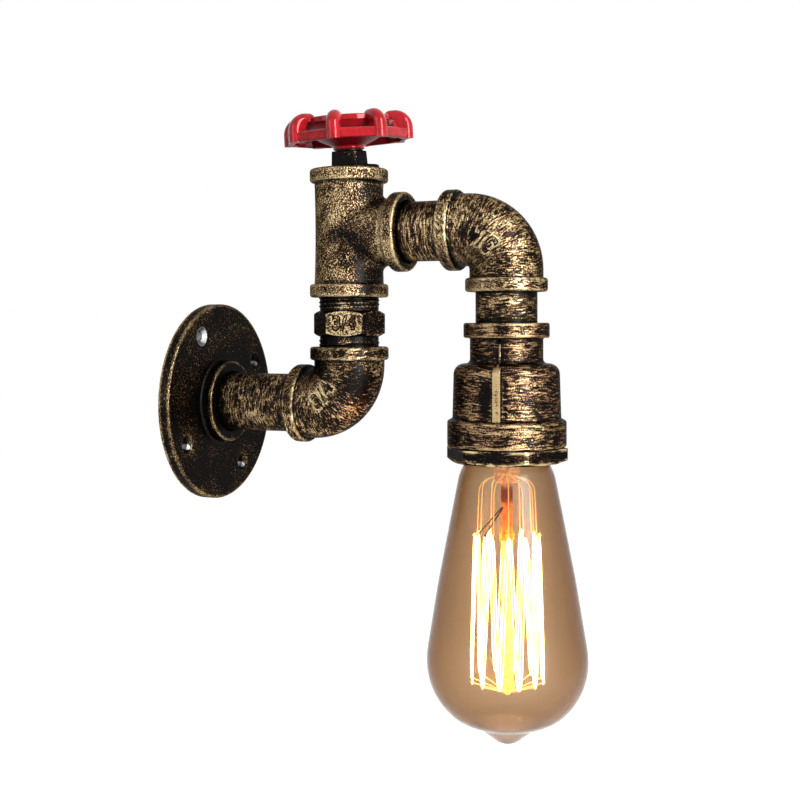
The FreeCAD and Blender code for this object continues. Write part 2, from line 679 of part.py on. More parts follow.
def reducing_socket():
    """The lamp's cup: small band, neck, round shoulder, flared body with ribs, and large band."""
    top = CUP_TOP
    shoulder = CUP_TOP - CUP_SHOULDER
    band_top = CUP_FOOT + CUP_BAND
    band_foot_r = CUP_OD / 2 + CUP_BAND_STEP
    neck_r = CUP_NECK_OD / 2
    socket_floor = top - SOCKET_DEPTH
    cup = turned([
        (SOCKET_R + MOUTH_CHAMFER, top), (CUP_TOP_OD / 2, top, 0.9),
        (CUP_TOP_OD / 2, top - CUP_TOP_BAND, 0.9), (neck_r, top - CUP_TOP_BAND, 0.8),
        (neck_r, shoulder + 0.6, 2.0), (CUP_OD / 2, shoulder, CUP_SHOULDER_ROUND),
        ((CUP_OD + CUP_FLARE) / 2, band_top + 1.3, 0.6), (band_foot_r, band_top, 1.0),
        (band_foot_r, CUP_FOOT, 0.8), (CUP_THREAD_R + THREAD_FIT, CUP_FOOT),
        (CUP_THREAD_R + THREAD_FIT, CUP_STEP), (CUP_BORE_R, CUP_STEP), (CUP_BORE_R, CUP_CEILING, 1.5),
        (BORE_R, CUP_CEILING), (BORE_R, socket_floor), (SOCKET_R, socket_floor),
        (SOCKET_R, top - MOUTH_CHAMFER)])
    rib_top = shoulder - 0.6
    rib_r = CUP_OD / 2 + CUP_RIB_PROUD
    root_r = CUP_OD / 2 - CUP_RIB_ROOT
    bar = Part.makeBox(rib_r - root_r, CUP_RIB_WIDTH, rib_top - band_top,
                       V(root_r, -CUP_RIB_WIDTH / 2, band_top))
    tip = turned([(0, band_top), (rib_r, band_top), (rib_r, shoulder, CUP_SHOULDER_ROUND), (0, shoulder)])
    bar = bar.common(tip)
    ribs = []
    for k in range(CUP_RIBS):
        rib = bar.copy()
        rib.rotate(V(0, 0, 0), UP, CUP_RIB_TURN + 360.0 * k / CUP_RIBS)
        ribs.append(rib)
    cup = fused(cup, *ribs)
    cup.translate(DROP_AXIS)
    return cup


def holder_ring():
    """The hexagon ring that screws into the cup and traps the lampholder."""
    high = CUP_FOOT - RING_GROOVE
    low = high - RING_HEIGHT
    neck_r = CUP_THREAD_R + RING_NECK
    hexagon = chamfered_hexagon(RING_FLATS, RING_CORNERS, low, high, RING_TURN, RING_CONE, ("low",))
    sleeve_top = HOLDER_SEAT - HOLDER_PLAY
    sleeve = turned([(0, low), (neck_r, low), (neck_r, CUP_FOOT),
                     (CUP_THREAD_R, CUP_FOOT), (CUP_THREAD_R, sleeve_top - 0.5),
                     (CUP_THREAD_R - 0.5, sleeve_top), (0, sleeve_top)])
    ring = fused(hexagon, sleeve)
    bore = turned([(0, low), (RING_BORE_R + 0.8, low), (RING_BORE_R, low + 0.8), (RING_BORE_R, sleeve_top),
                   (0, sleeve_top)])
    ring = ring.cut(bore)
    ring.translate(DROP_AXIS)
    return ring


def lampholder_body():
    """The ceramic insert: flange, skirt, pocket for the screw shell, and roof."""
    pocket_r = SHELL_OUT_R + POCKET_PLAY
    flange_r = CUP_THREAD_R - HOLDER_CLEAR
    skirt_r = RING_BORE_R - HOLDER_CLEAR
    top_r = HOLDER_R - HOLDER_STEP
    skirt_foot = HOLDER_SEAT - HOLDER_SKIRT
    step = HOLDER_TOP - HOLDER_STEP_HIGH
    body = turned([
        (pocket_r, skirt_foot), (skirt_r, skirt_foot, 0.6), (skirt_r, HOLDER_SEAT),
        (flange_r, HOLDER_SEAT), (flange_r, HOLDER_SEAT + HOLDER_FLANGE),
        (HOLDER_R, HOLDER_SEAT + HOLDER_FLANGE), (HOLDER_R, step, 0.6), (top_r, step, 0.6),
        (top_r, HOLDER_TOP, 0.6), (0, HOLDER_TOP), (0, POCKET_TOP), (pocket_r, POCKET_TOP)])
    for side in (-1, 1):
        hole = V(side * LEAD_APART, 0, POCKET_TOP)
        body = body.cut(rod(RIVET_R, hole, hole + UP * HOLDER_ROOF))
    body.translate(DROP_AXIS)
    return body


def screw_shell():
    """The brass screw shell, with the lug that meets the neutral pillar's rivet."""
    inner_r = SHELL_OUT_R - SHELL_THICK
    foot = HOLDER_SEAT - HOLDER_SKIRT + 1.0
    shell = turned([(inner_r, foot), (SHELL_OUT_R, foot), (SHELL_OUT_R, POCKET_TOP),
                    (SHELL_LIP_R, POCKET_TOP), (SHELL_LIP_R, POCKET_TOP - STRIP_THICK),
                    (inner_r, POCKET_TOP - STRIP_THICK)])
    lug = Part.makeBox(SHELL_LIP_R + 1.0 - LUG_END, LUG_WIDTH, STRIP_THICK,
                       V(LUG_END, -LUG_WIDTH / 2, POCKET_TOP - STRIP_THICK))
    shell = fused(shell, lug)
    shell.translate(DROP_AXIS)
    return shell


def centre_contact():
    """The live contact: a spring strip whose end bears on the bulb's tip."""
    top = POCKET_TOP
    low = top - STRIP_THICK - STRIP_SPRING
    tail = -LEAD_APART - STRIP_TAIL
    joggle = 0.75 * STRIP_THICK
    strip = outline([(tail, top), (tail, top - STRIP_THICK), (-STRIP_HIGH_BEND, top - STRIP_THICK),
                     (-STRIP_LOW_BEND, low), (STRIP_END, low), (STRIP_END, low + STRIP_THICK),
                     (joggle - STRIP_LOW_BEND, low + STRIP_THICK), (joggle - STRIP_HIGH_BEND, top)])
    strip.translate(V(0, -LUG_WIDTH / 2, 0))
    strip = strip.extrude(V(0, LUG_WIDTH, 0))
    strip.translate(DROP_AXIS)
    return strip


def pillar(side):
    """A lead's brass pillar on the insert's roof, with its well, rivet and grub-screw hole."""
    foot = V(0, 0, HOLDER_TOP)
    post = turned([(0, HOLDER_TOP), (PILLAR_R, HOLDER_TOP), (PILLAR_R, HOLDER_TOP + PILLAR_HEIGHT, 0.4),
                   (0, HOLDER_TOP + PILLAR_HEIGHT)])
    post = fused(post, rod(RIVET_R, foot - UP * HOLDER_ROOF, foot))
    well = foot + UP * (PILLAR_HEIGHT - PILLAR_WELL)
    post = post.cut(rod(LEAD_R, well, foot + UP * PILLAR_HEIGHT))
    post = post.cut(rod(GRUB_R, grub_foot(), grub_foot() + V(0, -PILLAR_R, 0)))
    post.translate(DROP_AXIS + V(side * LEAD_APART, 0, 0))
    return post


def grub_foot():
    """Where a pillar's grub screw meets its lead."""
    return V(0, -LEAD_R, HOLDER_TOP + PILLAR_HEIGHT - PILLAR_WELL / 2)


def pillar_screws():
    """The two grub screws that clamp the leads in their pillars."""
    screws = []
    for side in (-1, 1):
        foot = grub_foot() + DROP_AXIS + V(side * LEAD_APART, 0, 0)
        screws.append(rod(GRUB_R, foot, foot + V(0, -GRUB_LENGTH, 0)))
    return Part.makeCompound(screws)


def lead(side):
    """One insulated lead from its pillar, through the whole pipework, to the terminal block."""
    start_z = HOLDER_TOP + PILLAR_HEIGHT - PILLAR_WELL
    end_y = BLOCK_FROM_WALL + BLOCK_LENGTH - LEAD_IN
    stops = [at(DROP_REACH, start_z), at(DROP_REACH, ARM_RISE), at(TEE_REACH, ARM_RISE),
             at(TEE_REACH), at(end_y)]
    wire = bent_wire(LEAD_R, stops, [ELBOW_BEND, LEAD_TEE_BEND, ELBOW_BEND])
    wire.translate(V(side * LEAD_APART, 0, 0))
    return wire


def terminal_block():
    """The two-way terminal block in the wall nipple's mouth."""
    near = BLOCK_FROM_WALL
    block = Part.makeBox(BLOCK_WIDTH, BLOCK_LENGTH, BLOCK_HEIGHT,
                         V(-BLOCK_WIDTH / 2, -near - BLOCK_LENGTH, -BLOCK_HEIGHT / 2))
    block = block.makeFillet(0.8, [edge for edge in block.Edges if edge.BoundBox.YLength > BLOCK_LENGTH / 2])
    inset = (BLOCK_LENGTH - INSERT_LENGTH) / 2
    for side in (-1, 1):
        start = V(side * LEAD_APART, -near, 0)
        block = block.cut(rod(LEAD_R + 0.3, start, start + FROM_WALL * BLOCK_LENGTH))
        far = start + FROM_WALL * (BLOCK_LENGTH - inset)
        block = block.cut(rod(INSERT_R, start + FROM_WALL * inset, far))
        for foot in block_screw_feet(side):
            block = block.cut(rod(BLOCK_SCREW_R + 0.2, foot, foot + UP * BLOCK_HEIGHT))
    return block


def block_screw_feet(side):
    """The feet of one way's two clamp screws."""
    middle = -BLOCK_FROM_WALL - BLOCK_LENGTH / 2
    return [V(side * LEAD_APART, middle + step * BLOCK_SCREW_SPACING / 2, LEAD_R) for step in (-1, 1)]


def terminal_inserts():
    """The two brass tubes inside the terminal block."""
    inset = (BLOCK_LENGTH - INSERT_LENGTH) / 2
    inserts = []
    for side in (-1, 1):
        start = V(side * LEAD_APART, -BLOCK_FROM_WALL - inset, 0)
        insert = tube(INSERT_R, LEAD_R, start, start + FROM_WALL * INSERT_LENGTH)
        for foot in block_screw_feet(side):
            insert = insert.cut(rod(BLOCK_SCREW_R, foot, foot + UP * INSERT_R))
        inserts.append(insert)
    return Part.makeCompound(inserts)


def terminal_screws():
    """The four clamp screws of the terminal block."""
    top = BLOCK_HEIGHT / 2 - 0.6
    screws = []
    for side in (-1, 1):
        for foot in block_screw_feet(side):
            screw = rod(BLOCK_SCREW_R, foot, V(foot.x, foot.y, top))
            slot = Part.makeBox(2 * BLOCK_SCREW_R, 0.5, 0.6,
                                V(foot.x - BLOCK_SCREW_R, foot.y - 0.25, top - 0.6))
            screws.append(screw.cut(slot))
    return Part.makeCompound(screws)


def bulb_cap():
    """The bulb's brass screw shell, drawn in over its insulator."""
    rim = CAP_RIM
    skirt = rim + CAP_SKIRT
    throat = skirt + CAP_THROAT_RISE
    cap = turned([(CAP_R - CAP_THICK, rim), (CAP_R, rim), (CAP_R, skirt, 1.2), (CAP_THROAT_R, throat),
                  (CAP_THROAT_R - CAP_THICK, throat), (CAP_R - CAP_THICK, skirt - 0.4, 1.0)])
    cap.translate(DROP_AXIS)
    return cap


def cap_insulator():
    """The black glass insulator in the end of the bulb's cap."""
    skirt = CAP_RIM + CAP_SKIRT
    throat = skirt + CAP_THROAT_RISE
    top = TIP_TOP - TIP_THICK - TIP_GAP
    inner_r = CAP_THROAT_R - CAP_THICK
    insulator = turned([(0, throat - 1.2), (inner_r, throat - 1.2), (inner_r, throat),
                        (INSULATOR_R, top), (0, top)])
    insulator.translate(DROP_AXIS)
    return insulator


def tip_contact():
    """The bulb's tip contact, which slides down with the bulb as it is unscrewed."""
    tip = turned([(0, TIP_TOP - TIP_THICK), (TIP_R, TIP_TOP - TIP_THICK), (TIP_R, TIP_TOP, 0.5),
                  (0, TIP_TOP)])
    tip.translate(DROP_AXIS)
    return tip


def fall(run, rounding, turn):
    """How far a side falls in over a run, when a round turns it from upright and it goes on straight."""
    return run * math.tan(turn) - rounding * (1 / math.cos(turn) - 1)


def glass_outline(wall):
    """Corners of the bulb's glass, inset by a wall, from its neck down to its tip."""
    rim = CAP_RIM
    widest = rim - GLASS_WIDEST
    base = rim - GLASS_BASE + wall
    tip = rim - GLASS_LENGTH + wall
    girth = GLASS_R - wall
    flank_turn = math.radians(GLASS_FLANK_TURN)
    dome_turn = math.radians(GLASS_DOME_TURN)
    waist_round = GLASS_WAIST_ROUND - wall
    dome_round = GLASS_DOME_ROUND - wall
    return [(GLASS_NECK_R - wall, rim - 1.0, 3.0),
            (GLASS_SHOULDER_R - wall, rim - GLASS_SHOULDER, GLASS_SHOULDER_ROUND - wall),
            (girth - fall(GLASS_FLANK_UP, waist_round, flank_turn), rim - GLASS_FLANK, GLASS_FLANK_ROUND),
            (girth, widest + waist_round * math.tan(flank_turn / 2), waist_round),
            (girth, widest - dome_round * math.tan(dome_turn / 2), dome_round),
            (girth - fall(widest - base, dome_round, dome_turn), base, GLASS_BASE_ROUND - wall),
            (PIP_R - wall, tip + PIP_HIGH, PIP_ROOT_ROUND + wall),
            (PIP_NOSE_R - wall / 2, tip, PIP_NOSE_ROUND - wall), (0, tip)]


def bulb_glass():
    """The clear amber envelope, open where its neck meets the stem's flare."""
    top = CAP_RIM + GLASS_IN_CAP
    outer = turned([(0, top), (GLASS_NECK_R, top)] + glass_outline(0.0))
    inner = turned([(0, top), (GLASS_NECK_R - GLASS_WALL, top)] + glass_outline(GLASS_WALL))
    glass = outer.cut(inner)
    glass.translate(DROP_AXIS)
    return glass


def bulb_stem():
    """The glass mount: flare, pinch, and the long rod with its collar, button and tip."""
    top = CAP_RIM + GLASS_IN_CAP
    foot = top - STEM_FLARE
    pinch_low = PINCH_FOOT
    rod_low = BUTTON_FOOT
    flare = turned([(0, top), (STEM_FLARE_R, top), (STEM_FLARE_R, top - 0.8), (STEM_TUBE_R, foot, 3.0),
                    (STEM_TUBE_R, pinch_low + STEM_LAP), (0, pinch_low + STEM_LAP)])
    pinch = Part.makeBox(STEM_PINCH_WIDE, STEM_PINCH_THICK, STEM_PINCH_HIGH,
                         V(-STEM_PINCH_WIDE / 2, -STEM_PINCH_THICK / 2, pinch_low))
    pinch = pinch.makeFillet(1.2, pinch.Edges)
    pinch.rotate(V(0, 0, 0), UP, STEM_PINCH_TURN)
    collar = pinch_low - ROD_COLLAR
    spine = turned([(0, pinch_low + 2.0), (ROD_R, pinch_low + 2.0), (ROD_R, collar + 2.4, 1.0),
                    (ROD_COLLAR_R, collar + 1.2, 0.8), (ROD_COLLAR_R, collar - 1.2, 0.8),
                    (ROD_R, collar - 2.4, 1.0), (ROD_R, rod_low + ROD_BUTTON_HIGH + 1.0, 0.8),
                    (ROD_BUTTON_R, rod_low + ROD_BUTTON_HIGH, 0.8),
                    (ROD_BUTTON_R, rod_low, 1.2), (ROD_TIP_R, rod_low - ROD_TIP), (0, rod_low - ROD_TIP)])
    stem = fused(flare, pinch, spine)
    stem.translate(DROP_AXIS)
    return stem


def hook_places(radius, depth, turns):
    """Points on one of the filament's two rings, by turns of the hooks' spacing."""
    return [polar(radius, LEAD_IN_TURN + 360.0 * turn / HOOKS, CAP_RIM - depth) for turn in turns]


def upper_places():
    """The upper ring's hooks; the lead-in wires take the place of the first."""
    return hook_places(UPPER_HOOK_R, UPPER_HOOK, range(1, HOOKS))


def lower_places():
    """The lower ring's hooks, half a space on from the upper ones."""
    return hook_places(LOWER_HOOK_R, LOWER_HOOK, [k + 0.5 for k in range(HOOKS)])


def lead_in_ends():
    """Where the two lead-in wires hold the filament's ends."""
    height = CAP_RIM - UPPER_HOOK
    return [polar(UPPER_HOOK_R, LEAD_IN_TURN + side * LEAD_IN_SPREAD, height) for side in (1, -1)]


def outward(point):
    """The level direction from the bulb's axis to a point."""
    return unit(V(point.x, point.y, 0))


def upper_hook(place):
    """One upper hook: from the pinch it arches out and down, and ends in a toe that points outward."""
    out = outward(place)
    stops = [out * HOOK_ROOT_R + UP * (PINCH_FOOT + HOOK_ROOT),
             out * HOOK_SHOULDER_R + UP * (PINCH_FOOT + HOOK_SHOULDER),
             place - out * HOOK_HEEL, place + out * HOOK_TOE]
    return bent_wire(HOOK_WIRE_R, stops, [HOOK_SHOULDER_ROUND, HOOK_HEEL_ROUND])


def lower_hook(place):
    """One lower hook: a straight wire that fans out and up from the rod's tip, past its ring."""
    root = outward(place) * HOOK_ROOT_R + UP * (BUTTON_FOOT - ROD_TIP + 0.8)
    return rod(HOOK_WIRE_R, root, place + unit(place - root) * HOOK_TOE)


def filament_supports():
    """The hook wires of both rings, shown from where they leave the stem's glass."""
    hooks = [upper_hook(place) for place in upper_places()] + [lower_hook(place) for place in lower_places()]
    hooks = Part.makeCompound(hooks)
    hooks.translate(DROP_AXIS)
    return hooks.cut(bulb_stem())


def lead_in_wires():
    """The two wires that feed the filament, shown from where they leave the stem's glass."""
    wires = []
    for end in lead_in_ends():
        root = outward(end) * HOOK_ROOT_R + UP * (end.z + LEAD_IN_RISE)
        wires.append(rod(LEAD_IN_WIRE_R, root, end))
    wires = Part.makeCompound(wires)
    wires.translate(DROP_AXIS)
    return wires.cut(bulb_stem())


def filament():
    """The cage filament: one wire that runs down and up and turns round every hook of both rings."""
    first, last = lead_in_ends()
    turn_r = HOOK_WIRE_R + FILAMENT_R + FILAMENT_PLAY
    hooks = []
    for lower, upper in zip(lower_places(), upper_places() + [None]):
        hooks.append((lower, DOWN))
        if upper is not None:
            hooks.append((upper, UP))
    corners = []
    for place, beyond in hooks:
        ahead = UP.cross(outward(place)) * turn_r
        corners.append(place - ahead + beyond * turn_r)
        corners.append(place + ahead + beyond * turn_r)
    clear = LEAD_IN_WIRE_R + FILAMENT_R
    start = first + unit(corners[0] - first) * clear
    end = last + unit(corners[-1] - last) * clear
    wire = bent_wire(FILAMENT_R, [start] + corners + [end], [0.9 * turn_r] * len(corners))
    wire.translate(DROP_AXIS)
    return wire


def pieces():
    """Every piece by its name."""
    tee_face = at(TEE_REACH + TEE_ARM, ARM_RISE)
    upper_face = at(DROP_REACH - UPPER_ELBOW_ARM, ARM_RISE)
    lower_face = at(TEE_REACH - LOWER_ELBOW_ARM)
    drop_face = at(DROP_REACH, ARM_RISE - UPPER_ELBOW_ARM)
    return {
        "wall_flange": wall_flange(),
        "earth_screw": earth_screw(),
        "wall_nipple": nipple(at(WALL_NIPPLE_SET_BACK), in_socket(lower_face, TO_WALL)),
        "lower_elbow": elbow(LOWER_ELBOW_ARM, at(TEE_REACH), UP),
        "hex_nipple": hex_nipple(),
        "tee": tee(),
        "branch_nipple": nipple(in_socket(tee_face, FROM_WALL), in_socket(upper_face, TO_WALL)),
        "upper_elbow": elbow(UPPER_ELBOW_ARM, at(DROP_REACH, ARM_RISE), DOWN),
        "drop_nipple": nipple(in_socket(drop_face, DOWN), in_socket(at(DROP_REACH, CUP_TOP), UP)),
        "reducing_socket": reducing_socket(),
        "holder_ring": holder_ring(),
        "spindle_plug": spindle_plug(),
        "spindle": spindle(),
        "retaining_clip": retaining_clip(),
        "thrust_washer": thrust_washer(),
        "handwheel": handwheel(),
        "wheel_washer": wheel_washer(),
        "wheel_nut": wheel_nut(),
        "lampholder_body": lampholder_body(),
        "screw_shell": screw_shell(),
        "centre_contact": centre_contact(),
        "live_pillar": pillar(-1),
        "neutral_pillar": pillar(1),
        "pillar_screws": pillar_screws(),
        "live_lead": lead(-1),
        "neutral_lead": lead(1),
        "terminal_block": terminal_block(),
        "terminal_inserts": terminal_inserts(),
        "terminal_screws": terminal_screws(),
        "bulb_cap": bulb_cap(),
        "cap_insulator": cap_insulator(),
        "tip_contact": tip_contact(),
        "bulb_glass": bulb_glass(),
        "bulb_stem": bulb_stem(),
        "filament_supports": filament_supports(),
        "filament": filament(),
        "lead_in_wires": lead_in_wires(),
    }


os.makedirs("parts", exist_ok=True)
for name, shape in pieces().items():
    shape.exportStep("parts/%s.step" % name)
    print("%-18s solids %2d  volume %10.1f  valid %s" % (
        name, len(shape.Solids), shape.Volume, shape.isValid()))
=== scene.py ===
"""The looks of the pipe wall light: dry-brushed bronze fittings, a red handwheel and a lit amber bulb.

Everything is in metres in the frame's own axes: the wall is y = 0, the arm runs towards -Y and +Z is up.
Sizes of pieces and patterns are in millimetres, and MM turns them to metres.
"""

from __future__ import annotations

import logging
import math
from collections.abc import Callable
from dataclasses import dataclass, replace
from enum import Enum
from functools import partial

import bmesh
import bpy
from mathutils import Matrix, Vector

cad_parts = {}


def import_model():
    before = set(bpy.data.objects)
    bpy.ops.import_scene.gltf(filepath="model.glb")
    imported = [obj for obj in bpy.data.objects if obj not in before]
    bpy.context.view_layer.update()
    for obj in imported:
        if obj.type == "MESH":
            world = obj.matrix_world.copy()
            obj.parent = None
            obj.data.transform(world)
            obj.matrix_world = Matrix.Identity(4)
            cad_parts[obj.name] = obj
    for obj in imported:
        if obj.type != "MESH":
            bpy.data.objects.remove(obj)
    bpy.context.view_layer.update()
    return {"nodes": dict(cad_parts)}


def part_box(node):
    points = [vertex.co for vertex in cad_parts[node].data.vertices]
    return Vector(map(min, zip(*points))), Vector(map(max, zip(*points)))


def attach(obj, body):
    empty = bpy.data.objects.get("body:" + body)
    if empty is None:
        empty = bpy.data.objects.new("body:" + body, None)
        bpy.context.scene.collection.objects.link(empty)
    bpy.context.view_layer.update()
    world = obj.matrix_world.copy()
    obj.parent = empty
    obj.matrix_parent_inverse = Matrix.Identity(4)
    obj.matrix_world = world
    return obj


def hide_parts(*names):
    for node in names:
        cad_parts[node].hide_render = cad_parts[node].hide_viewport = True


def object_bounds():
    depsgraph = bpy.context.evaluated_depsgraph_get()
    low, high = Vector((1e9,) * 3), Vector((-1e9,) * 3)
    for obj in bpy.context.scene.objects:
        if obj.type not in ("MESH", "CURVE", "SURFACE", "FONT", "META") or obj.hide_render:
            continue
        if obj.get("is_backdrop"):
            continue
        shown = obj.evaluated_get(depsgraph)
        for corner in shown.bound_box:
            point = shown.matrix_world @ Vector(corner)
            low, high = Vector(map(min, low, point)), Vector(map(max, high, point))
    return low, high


MM = 0.001
ROOT_BODY = "frame"
BULB_BODY = "bulb"
DROP_REACH = 145.0
UP = Vector((0, 0, 1))
Adder = Callable[..., bpy.types.Node]
LOG = logging.getLogger("wall_light")


def linear(hex_colour: str) -> tuple[float, float, float, float]:
    """Turns an sRGB hex colour into the linear values that shaders use.

    Args:
        hex_colour: The colour as "#rrggbb".

    Returns:
        Linear red, green and blue, and an alpha of one.
    """
    parts = [int(hex_colour[k:k + 2], 16) / 255 for k in (1, 3, 5)]
    red, green, blue = (c / 12.92 if c <= 0.04045 else ((c + 0.055) / 1.055) ** 2.4 for c in parts)
    return (red, green, blue, 1.0)


def add_node(tree: bpy.types.NodeTree, kind: str, inputs: dict | None = None,
             **settings: object) -> bpy.types.Node:
    """Adds one shader node with its settings, constants and links.

    Args:
        tree: The node tree to add to.
        kind: The node's type name, after "ShaderNode".
        inputs: Input name or index, with a constant, a hex colour, an output to link, or a node whose
            first output in use is linked.
        settings: The node's own properties.

    Returns:
        The new node.
    """
    node = tree.nodes.new("ShaderNode" + kind)
    for name, value in settings.items():
        setattr(node, name, value)
    for key, value in (inputs or {}).items():
        if isinstance(value, bpy.types.Node):
            value = next(output for output in value.outputs if output.enabled)
        if isinstance(value, bpy.types.NodeSocket):
            tree.links.new(value, node.inputs[key])
        else:
            node.inputs[key].default_value = linear(value) if isinstance(value, str) else value
    return node


def dress(piece: bpy.types.Object, material: bpy.types.Material) -> None:
    """Puts one material on every slot of a piece.

    Args:
        piece: The object to dress.
        material: Its finish.
    """
    if not piece.data.materials:
        piece.data.materials.append(material)
    for slot in piece.material_slots:
        slot.material = material


def drawn_line(shape: bmesh.types.BMesh, points: list[tuple[float, float, float]],
               closed: bool = False) -> tuple[list[bmesh.types.BMVert], list[bmesh.types.BMEdge]]:
    """Draws a line of edges that an operator then spins or extrudes.

    Args:
        shape: The bmesh to draw in.
        points: The points that the line joins.
        closed: Whether it ends where it starts.

    Returns:
        The line's vertices and edges.
    """
    verts = [shape.verts.new(point) for point in points]
    ends = verts[1:] + verts[:1] if closed else verts[1:]
    return verts, [shape.edges.new(pair) for pair in zip(verts, ends)]


def meshed(curve: bpy.types.Curve) -> bmesh.types.BMesh:
    """Turns a text or curve into a bmesh, and clears the curve away.

    Args:
        curve: The text or curve.

    Returns:
        Its bmesh.
    """
    holder = bpy.data.objects.new(curve.name, curve)
    flat = bpy.data.meshes.new_from_object(holder)
    shape = bmesh.new()
    shape.from_mesh(flat)
    bpy.data.objects.remove(holder)
    bpy.data.curves.remove(curve)
    bpy.data.meshes.remove(flat)
    return shape


def finished(shape: bmesh.types.BMesh, name: str, material: bpy.types.Material, body: str = ROOT_BODY) -> bpy.types.Object:
    """Turns a bmesh into a smooth, dressed object that rides on a body.

    Args:
        shape: The finished bmesh, which is freed.
        name: The piece's name.
        material: Its finish.
        body: The body that carries it.

    Returns:
        The new object.
    """
    mesh = bpy.data.meshes.new(name)
    bmesh.ops.recalc_face_normals(shape, faces=shape.faces)
    for face in shape.faces:
        face.smooth = True
    shape.to_mesh(mesh)
    shape.free()
    piece = bpy.data.objects.new(name, mesh)
    bpy.context.scene.collection.objects.link(piece)
    dress(piece, material)
    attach(piece, body)
    LOG.info("%s: %d faces", name, len(mesh.polygons))
    return piece


def rounded(corners: list[tuple[float, ...]], steps: int = 10) -> list[tuple[float, float]]:
    """Rounds the inner corners of an open outline with arcs.

    Args:
        corners: Corners as (radius, height) or (radius, height, rounding radius).
        steps: Points on each arc.

    Returns:
        The outline's points.
    """
    points = [Vector(corners[0][:2])]
    for before, corner, after in zip(corners[:-2], corners[1:-1], corners[2:]):
        spot = Vector(corner[:2])
        if len(corner) < 3:
            points.append(spot)
            continue
        back = (Vector(before[:2]) - spot).normalized()
        ahead = (Vector(after[:2]) - spot).normalized()
        half = back.angle(ahead) / 2
        centre = spot + (back + ahead).normalized() * (corner[2] / math.sin(half))
        first = spot + back * (corner[2] / math.tan(half)) - centre
        turn = math.copysign(math.pi - 2 * half, first.cross(ahead))
        points.extend(centre + Matrix.Rotation(turn * k / steps, 2) @ first for k in range(steps + 1))
    points.append(Vector(corners[-1][:2]))
    return [(point.x, point.y) for point in points]


@dataclass(frozen=True)
class Finish:
    """A finish. Each kind lays its own coats on a new material."""

    name: str

    def coats(self, add: Adder) -> dict[str, bpy.types.Node]:
        """Lays the finish's coats.

        Args:
            add: Adds a node to the material's tree.

        Returns:
            What feeds each input of the material's output.
        """
        raise NotImplementedError

    def make(self) -> bpy.types.Material:
        """Builds the material.

        Returns:
            The new material.
        """
        material = bpy.data.materials.new(self.name)
        material.use_nodes = True
        material.node_tree.nodes.clear()
        add = partial(add_node, material.node_tree)
        add("OutputMaterial", self.coats(add))
        return material


def dress_nodes(nodes: dict[str, bpy.types.Object],
                finishes: dict[Finish, tuple[str, ...]]) -> dict[Finish, bpy.types.Material]:
    """Dresses CAD nodes.

    Args:
        nodes: The frame's nodes.
        finishes: Each finish, with the nodes that wear it.

    Returns:
        Each finish's material.
    """
    made = {finish: finish.make() for finish in finishes}
    for finish, names in finishes.items():
        for name in names:
            dress(nodes[name], made[finish])
            LOG.info("%s: %s", name, finish.name)
    return made


class Stroke(Enum):
    """Which way the bristles ran over a piece."""

    DAB = "dab"
    ROUND_DROP = "round_drop"
    ROUND_ARM = "round_arm"
    ROUND_BEND = "round_bend"


@dataclass(frozen=True)
class RubAndShade:
    """A place, in millimetres, with more or less bronze than elsewhere: where the brush caught more or less,
    and where shade is painted.
    """

    place: tuple[float, float, float]
    reach: float
    gain: float


